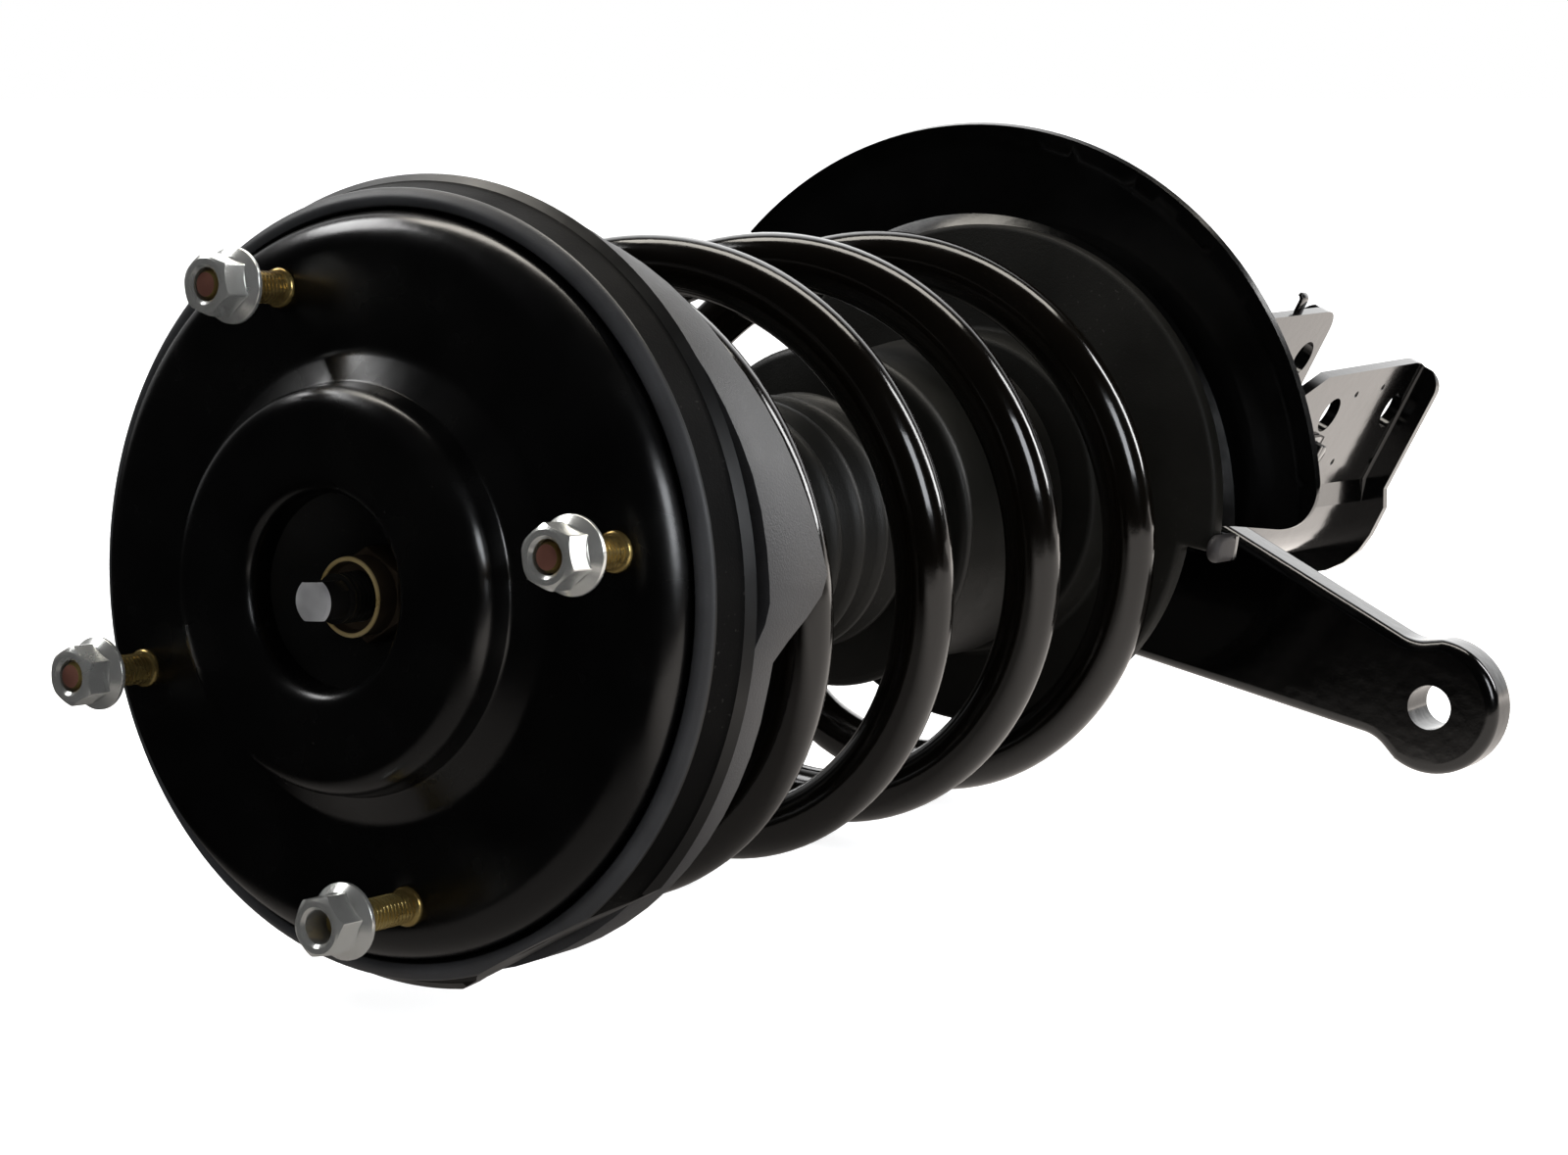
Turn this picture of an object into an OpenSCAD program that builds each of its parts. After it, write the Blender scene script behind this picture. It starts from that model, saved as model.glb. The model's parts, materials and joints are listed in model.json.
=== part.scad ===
// Strut assembly of a car's front suspension: top mount, coil spring, damper, steering arm and clevis.
// +Z runs up the damper's axis, +Y points outboard to the wheel, and the origin is the centre of the
// four studs, on the face that meets the body of the car. All sizes are in millimetres.

/* [Top mount] */
// Diameter of the circle that the four studs stand on
stud_circle_d = 150; // [144:1:156]
// Angle between the two outboard studs
outboard_stud_angle = 100.7; // [90:0.1:106]
// Angle between the two inboard studs
inboard_stud_angle = 82.8; // [76:0.1:92]
// Lean of the mount towards the wheel, against the damper's axis
mount_tilt = 1.7; // [0:0.1:2.5]
// How far the mount stands outboard of the damper's axis
mount_shift = 2; // [0:0.5:3]
// Thickness of the pressed steel of the mount
mount_sheet = 2.5; // [2:0.1:3]
// Radius of the hump over the rubber bush
hump_r = 47.8; // [45:0.1:50]
// Height of the hump above the stud face
hump_h = 15; // [11:0.5:17]
// Radius of the hump's foot
hump_foot_r = 55.5; // [54:0.1:58]
// Radius of the mouth that the rod's end shows through
mouth_r = 23; // [20:0.5:26]
// Radius of the cap's outer wall
cap_r = 88.8; // [86:0.1:91]
// Depth of the cap's outer wall below the stud face
cap_depth = 9.8; // [8:0.1:11]
// Radius of the mount's outer rim
rim_r = 98; // [95:0.5:100]
// Depth of the rim's lower edge below the stud face
rim_depth = 20.3; // [19:0.1:22]

/* [Studs and nuts] */
// Diameter of the stud's plain shank
stud_d = 8; // [6:0.5:8]
// Length of the studs above the mount's face
stud_length = 24.5; // [22:0.5:30]
// Height of the nuts' undersides above the mount's face
nut_height_up_stud = 15; // [12:0.5:18]
// Extra height of the nut that was left further out
loose_nut_extra = 6; // [0:0.5:7]
// Width across the flats of the flange nuts
nut_flats = 13; // [11:0.5:14]
// Diameter of the flange under each nut
nut_flange_d = 17.9; // [16:0.1:19]
// Height of a flange nut
nut_h = 10; // [8:0.5:11]

/* [Bearing] */
// Radius of the circle that the balls run on
bearing_r = 47; // [44:0.5:50]
// Radius of the balls
ball_r = 3; // [2.5:0.1:3.2]
// Number of balls
ball_count = 24; // [12:1:32]
// Width of the bearing's races
race_w = 14; // [12:0.5:16]

/* [Spring] */
// Radius of the coils at the middle of the wire
coil_r = 78.8; // [77:0.2:79.4]
// Radius of the wire
wire_r = 7.7; // [6.5:0.1:8]
// Height from one free coil to the next
coil_pitch = 55.5; // [52:0.5:57]
// Lean of the spring's axis outboard, against the damper's axis
spring_lean = 2.1; // [0:0.05:2.4]
// Height of the top end coil, at the middle of the wire
spring_top_z = -42.2; // [-44:0.2:-41]
// Height of the bottom end coil, at the middle of the wire
spring_bottom_z = -256; // [-258:0.5:-254]

/* [Spring seats] */
// Outer radius of the upper isolator
upper_isolator_r = 94.4; // [93:0.2:96]
// Outer radius of the broad side of the lower isolator
lower_isolator_r = 82.5; // [80:0.5:86]
// Outer radius of the narrow side of the lower isolator
lower_isolator_small_r = 72.5; // [71:0.5:75]
// How far the lower seat stands outboard of the damper's axis
lower_seat_y = 16; // [12:0.5:17]
// How far the lower seat stands towards the steering arm's side
lower_seat_x = 6; // [2:0.5:7]
// Inner radius of both isolators under the coils
isolator_inner_r = 62; // [58:0.5:66]
// Thickness of the steel of both spring seats
seat_sheet = 2.6; // [2:0.1:3]
// Outer radius of the guard plate
guard_r = 120; // [112:1:122]
// Thickness of the guard plate
guard_t = 2; // [1.5:0.1:2.5]

/* [Damper] */
// Radius of the piston rod
rod_r = 11; // [10:0.5:11.5]
// Radius of the threaded end of the rod
rod_thread_r = 6; // [5:0.5:6]
// Height of the rod's tip above the stud face
rod_tip_z = 15.6; // [13:0.1:18]
// Outer radius of the strut tube
tube_r = 22.5; // [22:0.1:23.5]
// Wall of the strut tube
tube_wall = 2; // [1.5:0.1:2.5]
// Height of the top of the strut tube
tube_top_z = -232; // [-236:0.5:-230]
// Height of the bottom of the strut tube
tube_bottom_z = -557; // [-570:1:-554]
// Bore radius of the inner cylinder
cylinder_r = 16; // [15:0.5:17]
// Bump travel from full droop to the bump stop
travel = 110; // [90:1:112]

/* [Steering arm] */
// Distance from the damper's axis to the tie-rod hole
arm_length = 152; // [140:1:165]
// Direction of the arm, from straight fore-and-aft towards the wheel
arm_angle = 9.7; // [5:0.1:15]
// Thickness of the arm
arm_t = 16; // [12:0.5:18]
// Height of the arm's upper face
arm_top_z = -318; // [-330:1:-312]
// Radius of the collar that is welded round the tube
arm_collar_r = 34; // [31:0.5:36]
// Half width of the arm where it meets the eye
arm_neck = 17.5; // [14:0.5:18.5]
// Radius of the eye
eye_r = 20.8; // [19:0.1:23]
// Radius of the tie-rod hole
tie_hole_r = 6.8; // [6:0.1:8]

/* [Clevis] */
// Distance between the outer faces of the ears
ears_w = 46; // [45:0.5:50]
// Thickness of the bracket's steel
bracket_t = 4; // [3:0.1:4]
// Turn of the bracket about the tube, against the mount
clevis_turn = 2.5; // [0:0.5:5]
// Distance of the bolt holes from the damper's axis
bolt_reach = 44; // [42:0.1:47]
// Height of the upper bolt hole
upper_bolt_z = -479.4; // [-484:0.2:-478]
// Distance between the two bolt holes
bolt_spacing = 60.5; // [56:0.5:62]
// Width of the lip that is turned out along the bracket's lower edge
lip_w = 9.5; // [5:0.5:10]
// Radius of the upper bolt hole
upper_bolt_r = 7; // [6:0.1:7.5]
// Radius of the lower bolt hole
lower_bolt_r = 7.5; // [6:0.1:8]

/* [Hidden] */

$fn = 96;
slip = 0.05;      // running clearance of a shaft in its bore
seat_gap = 0.1;   // gap between pieces that rest on each other in one body
soft_gap = 0.3;   // gap that keeps soft pieces clear of their neighbours
over = 1;         // how far a cut runs past the face it leaves

// Points of an arc about c, from angle a0 to a1
function arc(c, r, a0, a1, n = 6) = [for (i = [0:n]) c + r * [cos(a0 + (a1 - a0) * i / n), sin(a0 + (a1 - a0) * i / n)]];
// Unit vector to the right of an open outline at its point i
function right_of(p, i) =
    let (d = p[min(i + 1, len(p) - 1)] - p[max(i - 1, 0)]) [d[1], -d[0]] / norm(d);
// Closed outline of a sheet of thickness t that lies to the right of an open outline
function pressed(p, t) = concat(p, [for (i = [len(p) - 1:-1:0]) p[i] + t * right_of(p, i)]);

module ring(r_in, r_out, z0, z1) {
    translate([0, 0, z0]) difference() {
        cylinder(r = r_out, h = z1 - z0);
        translate([0, 0, -over]) cylinder(r = r_in, h = z1 - z0 + 2 * over);
    }
}

module tilted() {
    translate([0, mount_shift, 0]) rotate([-mount_tilt, 0, 0]) children();
}

// How far the spring's axis stands outboard of the damper's axis at height z
function lean_at(z) = (-97 - z) * tan(spring_lean);

// ---- Top mount -------------------------------------------------------------------------------

stud_angles = [
    90 - outboard_stud_angle / 2, 90 + outboard_stud_angle / 2,
    270 - inboard_stud_angle / 2, 270 + inboard_stud_angle / 2
];
lip_r = 4;            // roll of the sheet round the mouth
hump_round = 6.5;     // rounding of the hump's shoulder
foot_round = 5;       // rounding of the hump's foot
cap_round = 8;        // rounding of the cap's outer shoulder
stud_press_r = stud_d / 2 + 0.4;      // thicker part of the stud, pressed into the mount's steel
stud_hole_r = stud_press_r + seat_gap;
stud_head_r = stud_d / 2 + 1.2;
cap_path = concat(
    [[mouth_r, hump_h - lip_r - 5]],
    arc([mouth_r + lip_r, hump_h - lip_r], lip_r, 180, 90),
    arc([hump_r - hump_round, hump_h - hump_round], hump_round, 90, 0),
    arc([hump_foot_r, foot_round], foot_round, 200, 270, 4),
    arc([cap_r - cap_round, -cap_round], cap_round, 90, 0),
    [[cap_r, -cap_depth]]
);
ring_inner_r = 57;    // inner edge of the lower pressing
ring_step_r = cap_r - 7.4;
ring_band_r = cap_r + 5.7;            // outer edge of the step that shows round the cap
ring_path = [
    [ring_inner_r, -mount_sheet - seat_gap],
    [ring_step_r, -mount_sheet - seat_gap],
    [cap_r - 4.3, -cap_depth - seat_gap],
    [ring_band_r, -cap_depth - 0.6],
    [rim_r - 0.3, -rim_depth + 4.3],
    [rim_r, -rim_depth]
];

module at_studs() {
    for (a = stud_angles) rotate([0, 0, a]) translate([stud_circle_d / 2, 0, 0]) children();
}

module stud_holes() {
    at_studs() translate([0, 0, -4 * mount_sheet]) cylinder(r = stud_hole_r, h = 5 * mount_sheet, $fn = 32);
}

module mount_cap() {
    color("#101010") tilted() difference() {
        rotate_extrude() polygon(pressed(cap_path, mount_sheet));
        stud_holes();
    }
}

flat_a = -31.5;       // direction of the flat on the rim
flat_r = 92.3;        // distance of the flat from the mount's centre
module mount_ring() {
    color("#18181a") tilted() difference() {
        union() {
            difference() {
                rotate_extrude() polygon(pressed(ring_path, mount_sheet));
                rotate([0, 0, flat_a]) translate([flat_r, -rim_r, -rim_depth - over]) cube([20, 2 * rim_r, rim_depth]);
            }
            intersection() {
                rotate([0, 0, flat_a]) translate([flat_r - mount_sheet, -rim_r, -rim_depth])
                    cube([mount_sheet, 2 * rim_r, rim_depth - cap_depth - 2]);
                rotate_extrude() polygon(concat(
                    [for (p = ring_path) [p[0] - 0.4, p[1] - 0.4]], [[0, -rim_depth - 0.4], [0, ring_path[0][1] - 0.4]]
                ));
            }
        }
        stud_holes();
    }
}

rod_nut_h = 13.2;
rod_nut_hex_h = 7;
rod_nut_flats = 20;
rod_nut_hex_r = rod_nut_flats / 2 / cos(30);
rod_nut_collar_r = 9.8;
sleeve_r = rod_thread_r + 3.5;
sleeve_top_z = -10;
sleeve_bottom_z = -17;
bush_bottom_z = -14;
module mount_rubber() {
    inside_h = hump_h - mount_sheet;
    throat_r = mouth_r + mount_sheet + soft_gap;
    color("#1c1c1c") difference() {
        tilted() rotate_extrude() polygon(concat(
            [[sleeve_r - 1, sleeve_top_z - 4], [sleeve_r - 1, sleeve_top_z], [mouth_r - 3, -2]],
            [[throat_r, hump_h - lip_r - 5.5], [throat_r, hump_h - lip_r]],
            [[throat_r + 1.6, inside_h - soft_gap]],
            arc([hump_r - hump_round, hump_h - hump_round], hump_round - mount_sheet - soft_gap, 90, 0, 4),
            [[hump_foot_r - 6, -mount_sheet - 2.5], [34, -mount_sheet - 2.5], [30, sleeve_top_z - 4]]
        ));
        translate([0, 0, sleeve_bottom_z]) cylinder(r = sleeve_r + seat_gap, h = -sleeve_bottom_z);
        translate([0, 0, sleeve_top_z]) cylinder(r = rod_nut_hex_r + soft_gap, h = -sleeve_top_z);
    }
}

module mount_sleeve() {
    color("#8a8a86") union() {
        ring(rod_thread_r + seat_gap, sleeve_r, sleeve_bottom_z, sleeve_top_z);
        ring(rod_thread_r + seat_gap, 27, sleeve_bottom_z, sleeve_bottom_z + 2.2);
    }
}

thread_r = stud_d / 2 - 0.15;
shank_l = 9;          // plain length of the stud above the mount's face
module mount_studs() {
    color("#b39a55") tilted() at_studs() union() {
        translate([0, 0, -2 * mount_sheet - 3]) cylinder(r = stud_head_r, h = 2.8);
        translate([0, 0, -2 * mount_sheet - 1]) cylinder(r = stud_press_r, h = 2 * mount_sheet + 1);
        translate([0, 0, -1]) cylinder(r = stud_d / 2, h = shank_l + 1);
        translate([0, 0, shank_l - 0.5]) cylinder(r = thread_r, h = stud_length - shank_l - 0.5);
        translate([0, 0, stud_length - 1]) cylinder(r1 = thread_r, r2 = thread_r - 0.8, h = 1);
    }
}

module flange_nut() {
    difference() {
        union() {
            intersection() {
                cylinder(r = nut_flats / 2 / cos(30), h = nut_h, $fn = 6);
                cylinder(r1 = nut_h + nut_flats / 2 - 1, r2 = nut_flats / 2 - 0.2, h = nut_h);
            }
            cylinder(r = nut_flange_d / 2, h = 1.2);
            translate([0, 0, 1.2]) cylinder(r1 = nut_flange_d / 2, r2 = nut_flats / 2, h = 1.6);
        }
        translate([0, 0, -over]) cylinder(r = thread_r + seat_gap / 2, h = nut_h + 2 * over);
        translate([0, 0, nut_h - 0.8]) cylinder(r1 = thread_r, r2 = thread_r + 1, h = 1);
    }
}

module stud_nuts() {
    color("#d9dadb") tilted() for (i = [0:3]) {
        extra = i == 3 ? loose_nut_extra : 0;
        rotate([0, 0, stud_angles[i]])
            translate([stud_circle_d / 2, 0, nut_height_up_stud + extra]) rotate([0, 0, 20 * i]) flange_nut();
    }
}

module rod_nut() {
    color("#c8a24a") translate([0, 0, sleeve_top_z + seat_gap]) difference() {
        union() {
            intersection() {
                cylinder(r = rod_nut_hex_r, h = rod_nut_hex_h, $fn = 6);
                cylinder(r1 = rod_nut_hex_r + rod_nut_hex_h - 1, r2 = rod_nut_hex_r - 1, h = rod_nut_hex_h);
            }
            cylinder(r = rod_nut_collar_r, h = rod_nut_h);
        }
        translate([0, 0, -over]) cylinder(r = rod_thread_r + seat_gap / 2, h = rod_nut_h + 2 * over);
        translate([0, 0, rod_nut_h - 2]) cylinder(r = rod_nut_collar_r - 1.6, h = 3);
    }
}

// ---- Bearing ---------------------------------------------------------------------------------

race_h = 4.2;
race_gap = 2 * ball_r - 3;    // free height between the two races
upper_race_z = -15;
lower_race_z = upper_race_z - 2 * race_h - race_gap;
ball_z = upper_race_z - race_h - race_gap / 2;
race_in = bearing_r - race_w / 2;
race_out = bearing_r + race_w / 2;
groove_r = ball_r + slip;

module groove() {
    translate([0, 0, ball_z]) rotate_extrude() translate([bearing_r, 0]) circle(r = groove_r, $fn = 32);
}

module bearing_carrier() {
    color("#303030") difference() {
        ring(race_in - 3, race_out + 8, upper_race_z - 3, 0);
        translate([0, 0, upper_race_z - 4]) ring(race_in - seat_gap, race_out + seat_gap, 0, 4);
        tilted() translate([0, 0, -2 * mount_sheet - 2 * seat_gap - 0.1])
            cylinder(r = rim_r, h = 4 * mount_sheet);
    }
}

module bearing_upper_race() {
    color("#b8b8b8") difference() {
        ring(race_in, race_out, upper_race_z - race_h, upper_race_z - seat_gap);
        groove();
    }
}

module bearing_lower_race() {
    color("#b8b8b8") difference() {
        ring(race_in, race_out, lower_race_z, lower_race_z + race_h);
        groove();
    }
}

module at_balls() {
    for (i = [0:ball_count - 1]) rotate([0, 0, 360 * i / ball_count]) translate([bearing_r, 0, ball_z]) children();
}

module bearing_balls() {
    color("#e2e2e2") at_balls() sphere(r = ball_r, $fn = 24);
}

module bearing_cage() {
    half = race_gap / 2 - soft_gap;
    color("#d8d0b0") difference() {
        ring(race_in + 2, race_out - 2, ball_z - half, ball_z + half);
        at_balls() translate([0, 0, -over - half])
            cylinder(r = ball_r + soft_gap, h = 2 * half + 2 * over, $fn = 24);
    }
}

// ---- Upper seat and isolator -----------------------------------------------------------------

pan_top_z = lower_race_z - seat_gap;
pan_rim_z = pan_top_z - 3.6;
pan_rim_r = upper_isolator_r - 5.2;
neck_r = 28;
neck_bottom_z = -46;
upper_seat_path = [
    [neck_r, neck_bottom_z], [neck_r, pan_top_z - 3], [neck_r + 3, pan_top_z],
    [race_out + 4, pan_top_z], [race_out + 9, pan_rim_z], [pan_rim_r, pan_rim_z]
];
upper_lean = 1.2;        // how far the upper isolator stands outboard

module upper_seat() {
    color("#202022") rotate_extrude() polygon(pressed(upper_seat_path, seat_sheet));
}

// Height of the rim's lower edge over a point at radius r and direction a, all round the mount
function rim_z(r, a) = -rim_depth / cos(mount_tilt) - r * sin(a) * tan(mount_tilt);
pad_top_z = pan_rim_z - seat_sheet - seat_gap;      // the isolator's face against its seat
pad_bottom_z = spring_top_z + wire_r + soft_gap;    // its thin side, on the end coil
step_a = 24;            // direction of the isolator's step
ramp_l = 58;            // the outer wall's deep part ends this far beyond its lowest point
low_a = step_a + 9;     // direction of the outer wall's lowest point
pad_drop = 20.5;        // how much deeper the pad is at the step
wall_drop = 23;         // how much deeper the outer wall is at its lowest point
wall_t = 3.8;           // thickness of the outer wall
rim_clear = 2.4;        // running gap under the mount's rim
// Share of the full depth on the step's short slope, which rises smoothly from 0 to 1
function step_share(a) = let (t = max(0, min(1, (a - step_a + 4.5) / (low_a - step_a + 4.5)))) t * t * (3 - 2 * t);
// Share of the full depth of the outer wall, which runs out along a long ramp
function wall_share(a) = max(0, min(step_share(a), 1 - (a - low_a) / ramp_l));
// Lower face of the pad: deepest at the step, and thinner up the coil's ramp
function pad_low(a) = pad_bottom_z - pad_drop * step_share(a) * max(0, 1 - (a - step_a) / 180);
// Lower edge of the outer wall
function wall_low(a) = pad_bottom_z + 1 - wall_drop * wall_share(a);
// Upper edge of the outer wall: it clears the rim, and is cut down beyond the step
function wall_top(a) =
    let (full = rim_z(upper_isolator_r, a) - rim_clear)
    full * (1 - wall_share(a)) + (pan_rim_z - 4.5) * wall_share(a);
pad_angles = concat([for (i = [0:5]) step_a - 5 + i * 2.8], [for (i = [0:67]) step_a + 14 + i * 5]);
function pad_section(a) =
    let (d = [cos(a), sin(a)], i = isolator_inner_r, w = upper_isolator_r - wall_t, o = upper_isolator_r)
    let (low = min(wall_low(a), pad_bottom_z - 0.5)) [
        [i * d[0], i * d[1], pad_top_z], [w * d[0], w * d[1], pad_top_z],
        [w * d[0], w * d[1], max(wall_top(a), pad_top_z + 0.5)], [o * d[0], o * d[1], max(wall_top(a), pad_top_z + 0.5)],
        [o * d[0], o * d[1], low], [w * d[0], w * d[1], low],
        [w * d[0], w * d[1], pad_low(a)], [i * d[0], i * d[1], pad_low(a)]
    ];

// A closed band through a list of sections that have the same number of points
module band(sections) {
    n = len(sections);
    m = len(sections[0]);
    polyhedron(
        [for (s = sections) each s],
        [for (k = [0:n - 1]) for (j = [0:m - 1]) each [
            [k * m + j, k * m + (j + 1) % m, ((k + 1) % n) * m + (j + 1) % m],
            [k * m + j, ((k + 1) % n) * m + (j + 1) % m, ((k + 1) % n) * m + j]
        ]]
    );
}

module upper_isolator() {
    color("#3a3a3c") translate([0, upper_lean, 0]) band([for (a = pad_angles) pad_section(a)]);
}

// ---- Coil spring -----------------------------------------------------------------------------

spring_start_a = 376;                  // direction of the wire's upper end
coil_right_a = 32.3;                   // direction where the first free coil is counted from
coil_right_z = -69.9;
bottom_turns = 3;                      // whole turns from there to the last free coil
spring_end_a = coil_right_a - 360 * bottom_turns - 227;
blend_z = 3;                           // length of the easing into the end coils
function free_z(a) = coil_right_z + coil_pitch * (a - coil_right_a) / 360;
// Smaller of z and limit, with a rounded change over
function eased(z, limit) =
    let (d = z - limit) d > blend_z ? limit : d < -blend_z ? z : z - (d + blend_z) * (d + blend_z) / (4 * blend_z);
function wire_z(a) = -eased(-eased(free_z(a), spring_top_z), -spring_bottom_z);
end_coil_r = 65;                       // radius at the bottom end, which stands on the lower seat
end_l = 85;                            // the wire narrows over this angle, and then stays on the seat
end_hold = 25;
function end_share(a) = let (t = max(0, min(1, 1 - (a - spring_end_a - end_hold) / end_l))) t * t * (3 - 2 * t);
function centre(a) = (1 - end_share(a)) * [0, lean_at(wire_z(a))] + end_share(a) * [lower_seat_x, lower_seat_y];
wire_steps = 184;
wire_sides = 14;
function wire_ring(a) = [for (j = [0:wire_sides - 1])
    let (t = 360 * j / wire_sides, r = coil_r + (end_coil_r - coil_r) * end_share(a) + wire_r * cos(t))
    concat(centre(a) + r * [cos(a), sin(a)], [wire_z(a) + wire_r * sin(t)])];

module coil_spring() {
    n = wire_steps;
    m = wire_sides;
    points = [for (k = [0:n]) each wire_ring(spring_start_a + (spring_end_a - spring_start_a) * k / n)];
    sides = [for (k = [0:n - 1]) for (j = [0:m - 1]) each [
        [k * m + j, (k + 1) * m + (j + 1) % m, k * m + (j + 1) % m],
        [k * m + j, (k + 1) * m + j, (k + 1) * m + (j + 1) % m]
    ]];
    ends = [[for (j = [0:m - 1]) j], [for (j = [m - 1:-1:0]) n * m + j]];
    color("#0c0c0c") polyhedron(points, concat(sides, ends));
}

// ---- Dust boot and bump stop -----------------------------------------------------------------

boot_wall = 1.8;
boot_collar_r = neck_r + seat_sheet + boot_wall + 0.5;
boot_top_z = neck_bottom_z + 6;
small_folds = 12;
small_fold_h = 11.6;
small_fold_r = 37;
small_root_r = 32.4;
folds_z = boot_top_z - 10;
flare_z = -193;       // height of the flared fold below the bellows
flare_r = 54;
boot_bottom_z = -248;
boot_lean = 3;        // lean of the boot outboard from its collar
boot_path = concat(
    [[boot_collar_r, boot_top_z], [boot_collar_r, folds_z + 3]],
    [for (i = [0:small_folds - 1]) each [
        [small_root_r, folds_z - i * small_fold_h], [small_fold_r, folds_z - (i + 0.5) * small_fold_h]
    ]],
    [[small_root_r + 1, folds_z - small_folds * small_fold_h], [flare_r, flare_z], [flare_r - 9, flare_z - 5]],
    [[flare_r - 8, flare_z - 24], [flare_r - 5, boot_bottom_z]]
);

module dust_boot() {
    color("#262624") translate([0, 0, boot_top_z]) rotate([boot_lean, 0, 0]) translate([0, 0, -boot_top_z])
        rotate_extrude() polygon(pressed([for (i = [len(boot_path) - 1:-1:0]) boot_path[i]], -boot_wall));
}

bump_top_z = sleeve_bottom_z - 3 - seat_gap;
bump_bottom_z = tube_top_z + 2 + travel + 0.4;
bump_folds = 4;
module bump_stop() {
    h = (bump_top_z - bump_bottom_z) / bump_folds;
    color("#b8a060") difference() {
        rotate_extrude() polygon(concat(
            [[rod_r + seat_gap, bump_top_z]],
            [for (i = [0:bump_folds - 1]) each [
                [24.5 - i, bump_top_z - i * h], [24.5 - i, bump_top_z - (i + 0.7) * h], [20.5 - i, bump_top_z - (i + 0.85) * h]
            ]],
            [[18, bump_bottom_z], [rod_r + seat_gap, bump_bottom_z]]
        ));
    }
}

// ---- Damper ----------------------------------------------------------------------------------

tube_bore_r = tube_r - tube_wall;
cap_h = 10;                              // depth of the tube's cap
guide_top_z = tube_top_z - 8;
guide_h = 22;
guide_bottom_z = guide_top_z - guide_h;
rebound_h = 14;
rebound_top_z = guide_bottom_z - 0.4;
piston_h = 20;
piston_top_z = rebound_top_z - rebound_h - 72;
rod_end_z = piston_top_z - piston_h - 12;
rod_shoulder_z = sleeve_bottom_z - seat_gap;
spigot_r = 6.5;                          // thinned end of the rod in the piston

module piston_rod() {
    tip_h = 7;
    tip_flats = 1.5 * rod_thread_r;      // across the two flats on the rod's tip
    tip_turn = 123;
    color("#d4d6d8") union() {
        difference() {
            translate([0, 0, rod_shoulder_z - 1]) cylinder(r = rod_thread_r, h = rod_tip_z - rod_shoulder_z + 1);
            for (s = [0, 180]) rotate([0, 0, tip_turn + s]) translate([tip_flats / 2, -rod_r, rod_tip_z - tip_h])
                cube([rod_r, 2 * rod_r, tip_h + over]);
        }
        translate([0, 0, piston_top_z]) cylinder(r = rod_r, h = rod_shoulder_z - piston_top_z);
        translate([0, 0, rod_end_z]) cylinder(r = spigot_r, h = piston_top_z - rod_end_z + 1);
    }
}

module rebound_stop() {
    color("#c09a50") ring(rod_r + seat_gap / 2, cylinder_r - 1.2, rebound_top_z - rebound_h, rebound_top_z);
}

module piston() {
    color("#9a9a94") difference() {
        ring(spigot_r + seat_gap / 2, cylinder_r - 2 * slip, piston_top_z - piston_h, piston_top_z - seat_gap / 2);
        translate([0, 0, piston_top_z - piston_h / 2 - 4]) ring(cylinder_r - 1.6, cylinder_r + 1, 0, 8);
        for (a = [0:45:315]) rotate([0, 0, a]) translate([(spigot_r + cylinder_r) / 2, 0, piston_top_z - piston_h - over])
            cylinder(r = 1.5, h = piston_h + 2 * over, $fn = 24);
    }
}

module piston_ring() {
    z = piston_top_z - piston_h / 2;
    color("#5b4a3a") ring(cylinder_r - 1.6 + slip, cylinder_r - slip, z - 3.9, z + 3.9);
}

module piston_nut() {
    z = piston_top_z - piston_h - seat_gap / 2;
    color("#b0b0b0") difference() {
        translate([0, 0, z - 9]) cylinder(r = 10.5, h = 9, $fn = 6);
        translate([0, 0, z - 10]) cylinder(r = spigot_r + seat_gap / 2, h = 11);
    }
}

module strut_tube() {
    color("#0e0e0e") ring(tube_bore_r, tube_r, tube_bottom_z, tube_top_z - 1);
}

module tube_cap() {
    color("#151515") union() {
        ring(rod_r + 1.5, tube_r + 2, tube_top_z - 0.9, tube_top_z + 2);
        ring(tube_r + seat_gap, tube_r + 2, tube_top_z - cap_h, tube_top_z - 0.5);
    }
}

module rod_seal() {
    color("#3c2f28") ring(rod_r + slip, tube_bore_r - seat_gap, guide_top_z + seat_gap, tube_top_z - 1);
}

module rod_guide() {
    color("#a8a49a") union() {
        ring(rod_r + slip, cylinder_r - slip, guide_bottom_z, guide_top_z);
        ring(rod_r + 3, tube_bore_r - seat_gap, guide_bottom_z + 9, guide_top_z);
    }
}

cylinder_bottom_z = tube_bottom_z + 12;
module inner_cylinder() {
    color("#b4b6b8") ring(cylinder_r, cylinder_r + 1.5, cylinder_bottom_z, guide_bottom_z + 9 - seat_gap);
}

module base_valve() {
    color("#8e8c80") union() {
        ring(3, cylinder_r - slip, cylinder_bottom_z + seat_gap, cylinder_bottom_z + 9);
        difference() {
            ring(3, tube_bore_r - 1, tube_bottom_z + 6.2, cylinder_bottom_z - seat_gap);
            for (a = [0:60:300]) rotate([0, 0, a]) translate([tube_bore_r - 3.5, 0, tube_bottom_z + 5])
                cylinder(r = 1.6, h = 10, $fn = 24);
        }
        ring(3, cylinder_r - 4, cylinder_bottom_z - 0.5, cylinder_bottom_z + 0.5);
    }
}

module tube_base() {
    color("#0e0e0e") union() {
        translate([0, 0, tube_bottom_z + 2]) cylinder(r = tube_bore_r - seat_gap, h = 4);
        translate([0, 0, tube_bottom_z - 2]) cylinder(r1 = tube_bore_r - 6, r2 = tube_bore_r - seat_gap, h = 4.05);
    }
}

// ---- Lower seat, isolator and guard ----------------------------------------------------------

lower_face_z = spring_bottom_z - wire_r - soft_gap;   // the isolator's face under the end coil
lower_pad_h = 7;
lower_pan_z = lower_face_z - lower_pad_h;              // top of the seat under the isolator
hub_r = 50;
hub_top_z = boot_bottom_z - flare_r * sin(boot_lean) - soft_gap;
broad_from = 19.5;
broad_to = 168;

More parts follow.
